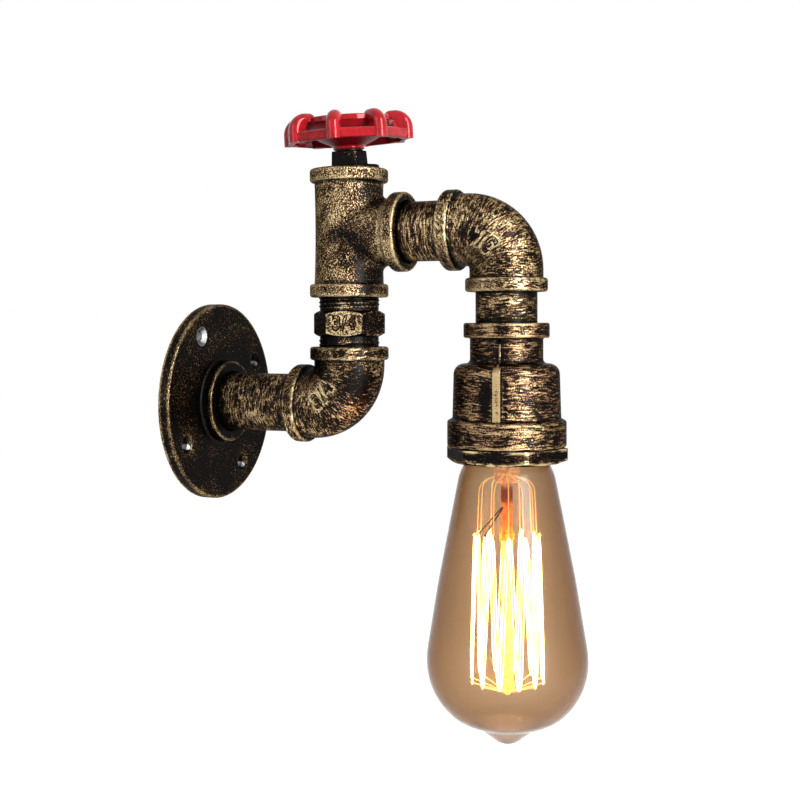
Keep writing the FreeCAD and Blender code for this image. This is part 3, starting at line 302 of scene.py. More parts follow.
@dataclass(frozen=True)
class BrushedBronze(Finish):
    """Cast iron painted near-black, then dry-brushed with bronze paint.

    The brush leaves bright paint on edges and high spots, fine broken strokes on the open faces and
    the black ground in the corners and creases, whose darkening is also painted shade. Some spots of
    less bronze are painted shade too. The eye reads it as worn antique bronze. Lengths are in millimetres.
    Real bristle marks and casting grit are 0.1 to 0.3 mm, too fine to show, so they are drawn at 0.5 mm
    and more.
    """

    stroke: Stroke = Stroke.DAB
    fine: float = 0.6
    long: float = 5.0
    wander: float = 3.0
    drift: float = 14.0
    bend_reach: float = 22.0
    grit: float = 0.5
    stain: float = 7.0
    cover: float = 0.5
    ground: str = "#0a0908"
    wash: str = "#1d1610"
    gold: str = "#7c613e"
    copper: str = "#6b4b35"
    bright: str = "#bba981"
    metal: float = 0.95
    patch_size: float = 9.0
    patch_depth: float = 0.07
    edge_reach: float = 1.8
    edge_gain: float = 0.22
    corner_reach: float = 9.0
    corner_loss_and_shade: float = 0.30
    crease_reach: float = 1.6
    crease_loss_and_shade: float = 0.45
    relief: float = 0.22
    bend_centre: tuple[float, float] = (0.0, 0.0)
    bend_out: tuple[float, float] = (0.0, 1.0)
    rubs_and_shades: tuple[RubAndShade, ...] = ()
    bare_and_glint_spots: tuple[tuple[float, float, float], ...] = ()
    caught_facet_and_highlight: tuple[float, float] = (0.0, 0.0)

    def bristle_space(self, add: Adder, place: bpy.types.NodeSocket) -> bpy.types.Node:
        """Measures space in bristle widths across a stroke and in stroke lengths along it.

        Args:
            add: Adds a node to the material's tree.
            place: The piece's own coordinates.

        Returns:
            The coordinates for the strokes' noise.
        """
        drift = add("TexNoise", {"Vector": place, "Scale": 1 / (self.drift * MM), "Detail": 1.0})
        loose = add("VectorMath", {
            0: drift.outputs["Color"], 1: (self.wander * MM,) * 3, 2: place}, operation="MULTIPLY_ADD")
        fine, long = 1 / (self.fine * MM), 1 / (self.long * MM)
        if self.stroke is not Stroke.ROUND_BEND:
            steps = {Stroke.DAB: (fine, fine, fine), Stroke.ROUND_DROP: (long, long, fine),
                     Stroke.ROUND_ARM: (long, fine, long)}[self.stroke]
            return add("VectorMath", {0: loose, 1: steps}, operation="MULTIPLY")
        middle = (0.0, self.bend_centre[0] * MM, self.bend_centre[1] * MM)
        out_y, out_z = self.bend_out
        arm = add("VectorMath", {0: loose, 1: middle}, operation="SUBTRACT")
        along = add("VectorMath", {0: arm, 1: (0.0, out_y, out_z)}, operation="DOT_PRODUCT")
        across = add("VectorMath", {0: arm, 1: (0.0, -out_z, out_y)}, operation="DOT_PRODUCT")
        turn = add("Math", {0: across, 1: along}, operation="ARCTAN2")
        level = add("VectorMath", {0: arm, 1: (0.0, 1.0, 1.0)}, operation="MULTIPLY")
        reach = add("VectorMath", {0: level}, operation="LENGTH")
        side = add("SeparateXYZ", {"Vector": loose})
        polar = add("CombineXYZ", {"X": side.outputs["X"], "Y": reach, "Z": turn})
        return add("VectorMath", {
            0: polar, 1: (long, long, self.bend_reach / self.fine)}, operation="MULTIPLY")

    def paint_height(self, add: Adder, place: bpy.types.NodeSocket,
                     grit: bpy.types.Node) -> bpy.types.Node:
        """Adds up the strokes, the patches, the rubbed edges, the corners and creases the brush left black,
        which are also painted shade, and the spots of more or less bronze, some of them painted shade.

        Args:
            add: Adds a node to the material's tree.
            place: The piece's own coordinates.
            grit: The casting's grit.

        Returns:
            How much bronze a point took, about 0.5 on average.
        """
        total = add("TexNoise", {
            "Vector": self.bristle_space(add, place), "Scale": 1.0, "Detail": 2.0, "Roughness": 0.6,
            "Distortion": 0.3})
        patches = add("TexNoise", {
            "Vector": place, "Scale": 1 / (self.patch_size * MM), "Detail": 2.0, "Roughness": 0.5})
        edge, corner, crease = (
            add("AmbientOcclusion", {"Distance": reach * MM}, inside=inside, samples=8).outputs["AO"]
            for reach, inside in (
                (self.edge_reach, True), (self.corner_reach, False), (self.crease_reach, False)))
        # Each part: what is measured, the range of it that counts, and the gains at its two ends.
        parts = [
            (patches, 0.3, 0.7, -self.patch_depth, self.patch_depth),
            (grit, 0.3, 0.7, -0.10, 0.10),
            (edge, 0.96, 0.70, 0.0, self.edge_gain),
            # Less bronze in the corners and creases: where the brush left them black, and painted shade too.
            (corner, 0.45, 0.95, -self.corner_loss_and_shade, 0.0),
            (crease, 0.55, 0.90, -self.crease_loss_and_shade, 0.0),
        ]
        facing, gain = self.caught_facet_and_highlight
        if gain:
            skin = add("TexCoord").outputs["Normal"]
            way = (math.cos(math.radians(facing)), math.sin(math.radians(facing)), 0.0)
            faced = add("VectorMath", {0: skin, 1: way}, operation="DOT_PRODUCT")
            parts.append((faced, 0.96, 0.99, 0.0, gain))
        for rub_and_shade in self.rubs_and_shades:
            away = add("VectorMath", {
                0: place, 1: tuple(side * MM for side in rub_and_shade.place)}, operation="DISTANCE")
            parts.append((away, 0.0, rub_and_shade.reach * MM, rub_and_shade.gain, 0.0))
        for source, low, high, first, last in parts:
            part = add("MapRange", {
                "Value": source, "From Min": low, "From Max": high, "To Min": first, "To Max": last},
                interpolation_type="SMOOTHSTEP")
            total = add("Math", {0: total, 1: part}, operation="ADD")
        return total

    def bare_and_glint_mask(self, add: Adder, place: bpy.types.NodeSocket) -> bpy.types.Node | float:
        """Marks the steel-grey places in the drilled holes: unpainted steel, and small spots of painted
        highlight.

        Args:
            add: Adds a node to the material's tree.
            place: The piece's own coordinates.

        Returns:
            One on the unpainted steel and the painted highlights, and nought elsewhere.
        """
        level = add("VectorMath", {0: place, 1: (1.0, 0.0, 1.0)}, operation="MULTIPLY")
        mask = 0.0
        for spot_x, spot_z, radius in self.bare_and_glint_spots:
            away = add("VectorMath", {0: level, 1: (spot_x * MM, 0.0, spot_z * MM)}, operation="DISTANCE")
            inside = add("Math", {0: away, 1: radius * MM}, operation="LESS_THAN")
            mask = add("Math", {0: mask, 1: inside}, operation="MAXIMUM")
        return mask

    def coats(self, add: Adder) -> dict[str, bpy.types.Node]:
        """Lays the black ground, a thin wash, the bronze in two tones and its brightest strokes.

        Args:
            add: Adds a node to the material's tree.

        Returns:
            The surface.
        """
        place = add("TexCoord").outputs["Object"]
        grit = add("TexNoise", {
            "Vector": place, "Scale": 1 / (self.grit * MM), "Detail": 1.0, "Roughness": 0.5})
        stain = add("TexNoise", {
            "Vector": place, "Scale": 1 / (self.stain * MM), "Detail": 2.0, "Roughness": 0.5})
        warm = add("MapRange", {"Value": stain, "From Min": 0.40, "From Max": 0.62})
        bronze = add("Mix", {"Factor": warm, "A": self.gold, "B": self.copper}, data_type="RGBA")
        total = self.paint_height(add, place, grit)
        shift = (0.5 - self.cover) * 0.4
        colour = self.ground
        masks = []
        for over, low, high in ((self.wash, 0.38, 0.45), (bronze, 0.52, 0.57), (self.bright, 0.62, 0.67)):
            masks.append(add("MapRange", {
                "Value": total, "From Min": low + shift, "From Max": high + shift},
                interpolation_type="SMOOTHSTEP"))
            colour = add("Mix", {"Factor": masks[-1], "A": colour, "B": over}, data_type="RGBA")
        metal = add("MapRange", {"Value": masks[0], "To Min": 0.85, "To Max": self.metal})
        rough = add("MapRange", {"Value": masks[1], "To Min": 0.36, "To Max": 0.32})
        # Steel-grey places in the holes: the upper left one unpainted, and in the others small painted
        # highlights.
        if self.bare_and_glint_spots:
            bare_and_glint = self.bare_and_glint_mask(add, place)
            steel = add("Mix", {"Factor": warm, "A": "#8f9193", "B": "#4c4d4f"}, data_type="RGBA")
            colour = add("Mix", {"Factor": bare_and_glint, "A": colour, "B": steel}, data_type="RGBA")
            metal = add("Math", {0: metal, 1: bare_and_glint}, operation="MAXIMUM")
        height = add("Math", {0: total, 1: grit}, operation="ADD")
        bump = add("Bump", {"Height": height, "Strength": 0.7, "Distance": self.relief * MM})
        return {"Surface": add("BsdfPrincipled", {
            "Base Color": colour, "Metallic": metal, "Roughness": rough, "Specular IOR Level": 0.08,
            "Specular Tint": (0.1, 0.08, 0.06, 1.0), "Coat Weight": 0.05, "Coat Roughness": 0.25,
            "Normal": bump})}


@dataclass(frozen=True)
class Enamel(Finish):
    """Glossy enamel on a rough casting: deep colour under a clear, slightly uneven skin.

    Its undersides are darker, a painted shade, and rougher, with no clear skin. The clear skin gives
    the small white highlights. Lengths are in millimetres.
    """

    colour: str
    shade: str
    roughness: float = 0.13
    ripple: float = 3.0
    gloss: float = 0.25
    depth: float = 0.0
    skin: float = 0.36
    skin_roughness: float = 0.07
    # The undersides' darker colour is painted shade.
    under: str = "#56070d"
    under_roughness: float = 0.5

    def coats(self, add: Adder) -> dict[str, bpy.types.Node]:
        """Lays the colour, the painted shade and rougher finish of the undersides, and the clear skin.

        Args:
            add: Adds a node to the material's tree.

        Returns:
            The surface.
        """
        place = add("TexCoord").outputs
        wave = add("TexNoise", {"Vector": place["Object"], "Scale": 1 / (self.ripple * MM), "Detail": 2.0})
        pool = add("MapRange", {"Value": wave, "From Min": 0.3, "From Max": 0.7})
        colour = add("Mix", {"Factor": pool, "A": self.shade, "B": self.colour}, data_type="RGBA")
        # Towards the undersides the colour darkens, a painted shade, the finish roughens and the clear skin
        # thins out.
        rise = add("SeparateXYZ", {"Vector": place["Normal"]}).outputs["Z"]
        below = add("MapRange", {"Value": rise, "From Min": -0.4, "From Max": -0.8})
        colour = add("Mix", {"Factor": below, "A": colour, "B": self.under}, data_type="RGBA")
        rough = add("MapRange", {"Value": below, "To Min": self.roughness, "To Max": self.under_roughness})
        skin = add("MapRange", {
            "Value": rise, "From Min": -0.05, "From Max": -0.4, "To Min": self.skin, "To Max": 0.0})
        bump = add("Bump", {"Height": wave, "Strength": 0.25, "Distance": 0.15 * MM})
        return {"Surface": add("BsdfPrincipled", {
            "Base Color": colour, "Metallic": self.depth, "Roughness": rough,
            "Specular IOR Level": self.gloss, "Specular Tint": self.shade, "Coat Weight": skin,
            "Coat Roughness": self.skin_roughness, "Normal": bump})}


@dataclass(frozen=True)
class PlainMetal(Finish):
    """Turned, pressed or plated metal: a soft shine with fine machining grain and small stains.

    The real grain is under 0.1 mm, too fine to show, so it is drawn at grain, in millimetres.
    """

    colour: str
    stain: str
    roughness: float = 0.3
    grain: float = 0.4
    stain_size: float = 5.0

    def coats(self, add: Adder) -> dict[str, bpy.types.Node]:
        """Lays the stains and the grain.

        Args:
            add: Adds a node to the material's tree.

        Returns:
            The surface.
        """
        place = add("TexCoord").outputs["Object"]
        fine = add("TexNoise", {"Vector": place, "Scale": 1 / (self.grain * MM), "Detail": 3.0})
        broad = add("TexNoise", {"Vector": place, "Scale": 1 / (self.stain_size * MM), "Detail": 3.0})
        spots = add("MapRange", {"Value": broad, "From Min": 0.42, "From Max": 0.66})
        colour = add("Mix", {"Factor": spots, "A": self.colour, "B": self.stain}, data_type="RGBA")
        rough = add("MapRange", {
            "Value": fine, "From Min": 0.3, "From Max": 0.7, "To Min": self.roughness * 0.8,
            "To Max": self.roughness * 1.25})
        bump = add("Bump", {"Height": fine, "Strength": 0.15, "Distance": 0.05 * MM})
        return {"Surface": add("BsdfPrincipled", {
            "Base Color": colour, "Metallic": 1.0, "Roughness": rough, "Normal": bump})}


@dataclass(frozen=True)
class BlownGlass(Finish):
    """Amber soda glass, blown and lacquered inside.

    It is clear, darkens where the eye looks along its wall and waves a little. Its lacquer spreads the
    filament's shine to a warm glow on the far wall. Lengths are in millimetres.
    """

    stain: str
    density: float = 1250.0
    ior: float = 1.15
    wave: float = 18.0
    wave_depth: float = 0.1
    haze: float = 0.25
    haze_roughness: float = 0.3

    def coats(self, add: Adder) -> dict[str, bpy.types.Node]:
        """Blows the clear wall and stains what lies inside it.

        Args:
            add: Adds a node to the material's tree.

        Returns:
            The surface and the volume.
        """
        place = add("TexCoord").outputs["Object"]
        wave = add("TexNoise", {"Vector": place, "Scale": 1 / (self.wave * MM), "Detail": 1.0})
        bump = add("Bump", {"Height": wave, "Strength": 0.3, "Distance": self.wave_depth * MM})
        return {
            "Surface": add("BsdfPrincipled", {
                "Base Color": "#ffffff", "Roughness": 0.0, "IOR": self.ior, "Transmission Weight": 1.0,
                "Coat Weight": self.haze, "Coat Roughness": self.haze_roughness, "Normal": bump}),
            "Volume": add("VolumeAbsorption", {"Color": self.stain, "Density": self.density})}


@dataclass(frozen=True)
class Lit(Finish):
    """Something inside the bulb that shines: its colour and glow change with its height. The filament
    is the lamp; the glow of the stem and hooks is painted light from it.

    zones gives heights in metres from the top down, each with its colour and its strength. Lengths are
    in millimetres. The glass's real seeds and cracks are finer than grain, and too fine to show.
    """

    zones: tuple[tuple[float, str, float], ...]
    clear: float = 0.0
    roughness: float = 0.4
    grain: float = 1.0
    mottle: float = 0.0

    def coats(self, add: Adder) -> dict[str, bpy.types.Node]:
        """Blends the zones from the top down and clouds them.

        Args:
            add: Adds a node to the material's tree.

        Returns:
            The surface.
        """
        place = add("TexCoord").outputs["Object"]
        height = add("SeparateXYZ", {"Vector": place}).outputs["Z"]
        top, colour, glow = self.zones[0]
        for low, lower_colour, lower_glow in self.zones[1:]:
            mask = add("MapRange", {"Value": height, "From Min": top, "From Max": low})
            colour = add("Mix", {"Factor": mask, "A": colour, "B": lower_colour}, data_type="RGBA")
            glow = add("Mix", {"Factor": mask, "A": glow, "B": lower_glow}, data_type="FLOAT")
            top = low
        seeds = add("TexNoise", {"Vector": place, "Scale": 1 / (self.grain * MM), "Detail": 2.0})
        if self.mottle:
            cloud = add("MapRange", {
                "Value": seeds, "From Min": 0.42, "From Max": 0.56,
                "To Min": 1.0 - self.mottle, "To Max": 1.0})
            glow = add("Math", {0: glow, 1: cloud}, operation="MULTIPLY")
        bump = add("Bump", {"Height": seeds, "Strength": 0.5, "Distance": 0.3 * MM})
        return {"Surface": add("BsdfPrincipled", {
            "Base Color": colour, "Roughness": self.roughness, "Transmission Weight": self.clear,
            "Emission Color": colour, "Emission Strength": glow, "Normal": bump})}


@dataclass(frozen=True)
class Moulded(Finish):
    """Moulded plastic or glazed ceramic: one colour with a slightly uneven, cloudy skin."""

    colour: str
    shade: str
    roughness: float = 0.35
    coat: float = 0.0
    cloud_size: float = 4.0

    def coats(self, add: Adder) -> dict[str, bpy.types.Node]:
        """Clouds the colour and the skin.

        Args:
            add: Adds a node to the material's tree.

        Returns:
            The surface.
        """
        place = add("TexCoord").outputs["Object"]
        cloud = add("TexNoise", {"Vector": place, "Scale": 1 / (self.cloud_size * MM), "Detail": 4.0})
        colour = add("Mix", {"Factor": cloud, "A": self.shade, "B": self.colour}, data_type="RGBA")
        bump = add("Bump", {"Height": cloud, "Strength": 0.1, "Distance": 0.1 * MM})
        return {"Surface": add("BsdfPrincipled", {
            "Base Color": colour, "Roughness": self.roughness, "Coat Weight": self.coat, "Normal": bump})}


def seen_directly(add: Adder) -> bpy.types.Node:
    """Tells the rays that see the backdrop itself from the ones that gather its light.

    Args:
        add: Adds a node to the tree.

    Returns:
        One to the camera, to gloss and through glass, and nought elsewhere.
    """
    path = add("LightPath")
    seen = path.outputs["Is Camera Ray"]
    for other in ("Is Glossy Ray", "Is Transmission Ray"):
        seen = add("Math", {0: seen, 1: path.outputs[other]}, operation="MAXIMUM")
    return seen


@dataclass(frozen=True)
class FloorPaint(Finish):
    """Pale matt floor paint, which shows white where no shadow falls."""

    glow: float

    def coats(self, add: Adder) -> dict[str, bpy.types.Node]:
        """Lays the paint.

        Args:
            add: Adds a node to the material's tree.

        Returns:
            The surface.
        """
        shine = add("Math", {0: seen_directly(add), 1: self.glow}, operation="MULTIPLY")
        return {"Surface": add("BsdfPrincipled", {
            "Base Color": "#f4f4f4", "Roughness": 0.9, "Specular IOR Level": 0.0,
            "Emission Color": "#ffffff", "Emission Strength": shine})}


@dataclass(frozen=True)
class Thread:
    """A run of screw thread: one ridge wound round an axis, from its foot along the axis.

    flank is the ridge's section, as shares of the way from root to crest and of the pitch.
    """

    foot: Vector
    root: float
    crest: float
    pitch: float
    turns: float
    flank: tuple[tuple[int, float], ...] = ((0, 0.0), (1, 0.38), (1, 0.52), (0, 0.9))
    steps_a_turn: int = 40

    def shape(self) -> bmesh.types.BMesh:
        """Winds the ridge.

        Returns:
            The ridge's bmesh.
        """
        shape = bmesh.new()
        verts, edges = drawn_line(shape, [
            ((self.root, self.crest)[side] * MM, 0.0, share * self.pitch * MM)
            for side, share in self.flank], closed=True)
        bmesh.ops.spin(shape, geom=verts + edges, cent=(0, 0, 0), axis=UP,
                       dvec=UP * (self.pitch * MM / self.steps_a_turn),
                       angle=2 * math.pi * self.turns, steps=round(self.turns * self.steps_a_turn))
        bmesh.ops.holes_fill(shape, edges=[edge for edge in shape.edges if edge.is_boundary])
        bmesh.ops.translate(shape, vec=self.foot, verts=shape.verts)
        return shape


@dataclass(frozen=True)
class RaisedSize:
    """A cast pipe size, in raised figures. Lengths are in millimetres."""

    height: float
    spread: float
    proud: float
    fatten: float = 0.0
    figures: str = "3/4"
    half_depth: float = 0.5
    bevel: float = 0.12

    def flat_figures(self) -> bmesh.types.BMesh:
        """Makes the figures flat on the ground, in millimetres, with their faces proud of it.

        Returns:
            The figures' bmesh.
        """
        text = bpy.data.curves.new("figures", "FONT")
        text.body = self.figures
        text.size = self.height
        text.align_x = "CENTER"
        text.align_y = "CENTER"
        text.space_character = self.spread
        text.extrude = self.half_depth
        text.offset = self.fatten
        text.bevel_depth = self.bevel
        text.resolution_u = 4
        shape = meshed(text)
        bmesh.ops.remove_doubles(shape, verts=shape.verts, dist=0.001)
        bmesh.ops.triangulate(shape, faces=shape.faces)
        lift = self.proud - self.half_depth - self.bevel
        bmesh.ops.translate(shape, vec=(0, 0, lift), verts=shape.verts)
        return shape


@dataclass(frozen=True)
class FacetMark(RaisedSize):
    """A pipe size on a hexagon's flat."""

    height: float = 8.4
    spread: float = 1.0
    proud: float = 0.3
    axis: tuple[float, float] = (0.0, 0.0)
    turn: float = 0.0
    flat: float = 0.0
    middle: float = 0.0

    def shape(self) -> bmesh.types.BMesh:
        """Sets the figures on the flat.

        Returns:
            The mark's bmesh.
        """
        shape = self.flat_figures()
        stand = Matrix.Rotation(math.radians(90.0), 4, "X")
        face = Matrix.Rotation(math.radians(self.turn + 90.0), 4, "Z")
        place = (Matrix.Translation((*self.axis, self.middle)) @ face @ stand
                 @ Matrix.Translation(UP * self.flat))
        bmesh.ops.transform(shape, matrix=Matrix.Scale(MM, 4) @ place, verts=shape.verts)
        return shape


@dataclass(frozen=True)
class BendMark(RaisedSize):
    """A pipe size on the side of an elbow's bend, bent to the bend's surface.

    turn is the mark's place round the bend, in degrees from +Y towards +Z. The figures' tops point to
    the bend's centre, apart from tilt, in degrees. text_reach is how much further from the bend's centre
    than its middle line the figures keep their width.
    """

    proud: float = 0.5
    centre: tuple[float, float] = (0.0, 0.0)
    bend: float = 0.0
    tube: float = 0.0
    turn: float = 0.0
    tilt: float = 0.0
    text_reach: float = 2.0

    def shape(self) -> bmesh.types.BMesh:
        """Sets the figures on the elbow.

        Returns:
            The mark's bmesh.
        """
        shape = self.flat_figures()
        bmesh.ops.rotate(shape, matrix=Matrix.Rotation(math.radians(self.tilt), 3, "Z"), verts=shape.verts)
        for vert in shape.verts:
            along, across, lift = vert.co
            theta = math.radians(self.turn) - along / (self.bend + self.text_reach)
            phi = -across / self.tube
            reach = self.bend + (self.tube + lift) * math.sin(phi)
            vert.co = Vector((-(self.tube + lift) * math.cos(phi),
                              self.centre[0] + reach * math.cos(theta),
                              self.centre[1] + reach * math.sin(theta))) * MM
        return shape


@dataclass
class Pipework:
    """The wall flange, pipes, elbows, tee and plug. Sizes are in millimetres."""

    nodes: dict[str, bpy.types.Object]
    tee_reach: float = 71.0
    drop_reach: float = DROP_REACH
    arm_rise: float = 76.0
    lower_arm: float = 25.6
    elbow_bend: float = 17.3
    elbow_tube: float = 15.65
    tee_arm: float = 28.5
    thread_root: float = 12.95
    thread_crest: float = 13.5
    thread_pitch: float = 1.814
    tee_thread: tuple[float, float] = (-5.4, 3.4)
    elbow_thread: tuple[float, float] = (-0.6, 1.4)
    screw_circle: float = 70.0
    screw_turn: float = 30.5
    bare_reach: float = 4.4
    # The painted highlight in each of the other holes: its offset from the hole's middle, and its radius.
    glint_offset: tuple[float, float] = (1.9, 1.3)
    glint_reach: float = 1.3
    hex_turn: float = 195.9
    hex_middle: float = 35.85
    hex_flat: float = 14.0
    surround_fatten: float = 0.42

    def build(self) -> None:
        """Dresses the pipework, cuts its threads and raises its size marks."""
        half = math.sqrt(0.5)
        low_bend = (self.elbow_bend - self.tee_reach, self.elbow_bend)
        high_bend = (self.elbow_bend - self.drop_reach, self.arm_rise - self.elbow_bend)
        elbow = BrushedBronze("elbow_bronze", Stroke.ROUND_BEND, long=2.6, fine=0.5)
        # The lower elbow's two spots of less bronze are painted shade.
        lower = replace(elbow, name="lower_elbow_bronze", cover=0.45, bend_centre=low_bend,
                        bend_out=(-half, -half), rubs_and_shades=(
                            RubAndShade((-11.0, -78.0, 10.0), 13.0, -0.24), RubAndShade((-15.6, -64.0, 16.0), 7.0, -0.12)))
        upper = replace(elbow, name="upper_elbow_bronze", cover=0.55, bend_centre=high_bend,
                        bend_out=(-half, half), rubs_and_shades=(RubAndShade((-15.6, -133.0, 73.0), 8.0, -0.26),))
        # The brush caught the hexagon's front flat in full, and its brightness there is also a painted
        # highlight.
        hexed = BrushedBronze("hex_nipple_bronze", cover=0.18, edge_gain=0.14, fine=0.7,
                              caught_facet_and_highlight=(self.hex_turn, 0.17))
        # The tee's front is dabbed. Less bronze round its branch's root is painted shade in the crease
        # between run and branch.
        tee = BrushedBronze("tee_bronze_stipple", cover=0.58, rubs_and_shades=(
            RubAndShade((-16.5, -76.0, 75.0), 10.0, -0.15), RubAndShade((-15.0, -82.0, 64.0), 12.0, -0.2),
            RubAndShade((-12.0, -86.0, 55.0), 10.0, -0.26), RubAndShade((-12.0, -86.0, 95.0), 9.0, -0.3)))
        # Mostly black, with a fine speckle and a gilt rim.
        flange = BrushedBronze("flange_bronze_speckle", fine=0.5, cover=0.2, wash="#17120d",
                               copper="#5c4433", bright="#b7a57c", patch_size=14.0,
                               bare_and_glint_spots=self.bare_and_glint_holes())
        dress_nodes(self.nodes, {
            flange: ("wall_flange",),
            BrushedBronze("wall_pipe_bronze", Stroke.ROUND_ARM, long=3.0): ("wall_nipple",),
            lower: ("lower_elbow",),
            hexed: ("hex_nipple",),
            tee: ("tee",),
            BrushedBronze("branch_pipe_bronze", Stroke.ROUND_ARM): ("branch_nipple",),
            upper: ("upper_elbow",),
            BrushedBronze("drop_pipe_bronze", Stroke.ROUND_DROP, cover=0.56): ("drop_nipple",),
            BrushedBronze("plug_bronze_dust", cover=0.16, edge_gain=0.12): ("spindle_plug",),
            PlainMetal("zinc_plated_steel", "#b9bab6", "#8e8d86", 0.32): ("earth_screw",),
        })
        cut = BrushedBronze("cut_thread_bronze", Stroke.ROUND_DROP, cover=0.2, edge_gain=0.06).make()
        runs = (("tee_thread", self.arm_rise - self.tee_arm, self.tee_thread),
                ("elbow_thread", self.lower_arm, self.elbow_thread))
        for name, face, (offset, turns) in runs:
            foot = Vector((0, -self.tee_reach, face + offset)) * MM
            run = Thread(foot, self.thread_root, self.thread_crest, self.thread_pitch, turns)
            finished(run.shape(), name, cut)
        self.raise_marks({
            "lower_size_mark": (lower, 0.12, BendMark(
                8.6, 1.2, centre=low_bend, bend=self.elbow_bend, tube=self.elbow_tube,
                turn=-132.0, tilt=8.0)),
            "upper_size_mark": (upper, 0.12, BendMark(
                10.0, 1.1, centre=high_bend, bend=self.elbow_bend, tube=self.elbow_tube,
                turn=134.0, tilt=14.0)),
            "hex_size_mark": (hexed, 0.08, FacetMark(
                axis=(0.0, -self.tee_reach), turn=self.hex_turn, flat=self.hex_flat,
                middle=self.hex_middle)),
        })

    def bare_and_glint_holes(self) -> tuple[tuple[float, float, float], ...]:
        """Finds the steel-grey places in the flange's holes: all of the upper left one, unpainted, and a
        small spot in each of the others, a painted highlight.

        Returns:
            Each place's x, z and radius.
        """
        turns = [math.radians(self.screw_turn + 90.0 * k) for k in range(4)]
        holes = [(self.screw_circle / 2 * math.cos(a), self.screw_circle / 2 * math.sin(a)) for a in turns]
        aside, down = self.glint_offset
        return tuple((x, z, self.bare_reach) if x < 0 < z else (x + aside, z - down, self.glint_reach)
                     for x, z in holes)

    def raise_marks(self, marks: dict[str, tuple[BrushedBronze, float, FacetMark | BendMark]]) -> None:
        """Raises the size marks, each in a black surround that stands less proud.

        Args:
            marks: Each mark's name, the finish of what it is on, its surround's height and its figures.
        """
        surround_finish = BrushedBronze("black_surround_paint", cover=0.0, edge_gain=0.0).make()
        for name, (finish, surround, figures) in marks.items():
            plain = replace(finish, name=name + "_bronze", edge_gain=0.0, crease_loss_and_shade=0.0)
            finished(figures.shape(), name, plain.make())
            surround_figures = replace(figures, proud=surround, fatten=self.surround_fatten)
            finished(surround_figures.shape(), name + "_surround", surround_finish)


@dataclass
class Wheel:
    """The handwheel, its spindle and fixings."""

    nodes: dict[str, bpy.types.Object]

    def build(self) -> None:
        """Dresses the wheel's pieces."""
        dress_nodes(self.nodes, {
            # Deep red that looks wet, with small white highlights on the lobes.
            Enamel("wheel_red_enamel", "#94141c", "#760b12", 0.1, gloss=0.9, depth=0.08): ("handwheel",),
            # Silvery plating, a little dulled.
            PlainMetal("wheel_zinc_steel", "#b9bab6", "#8e8d86", 0.3): (
                "retaining_clip", "wheel_washer", "wheel_nut"),
            # Almost black, with a soft shine.
            PlainMetal("oiled_dark_steel", "#2a2624", "#151312", 0.35): ("spindle", "thrust_washer"),
        })


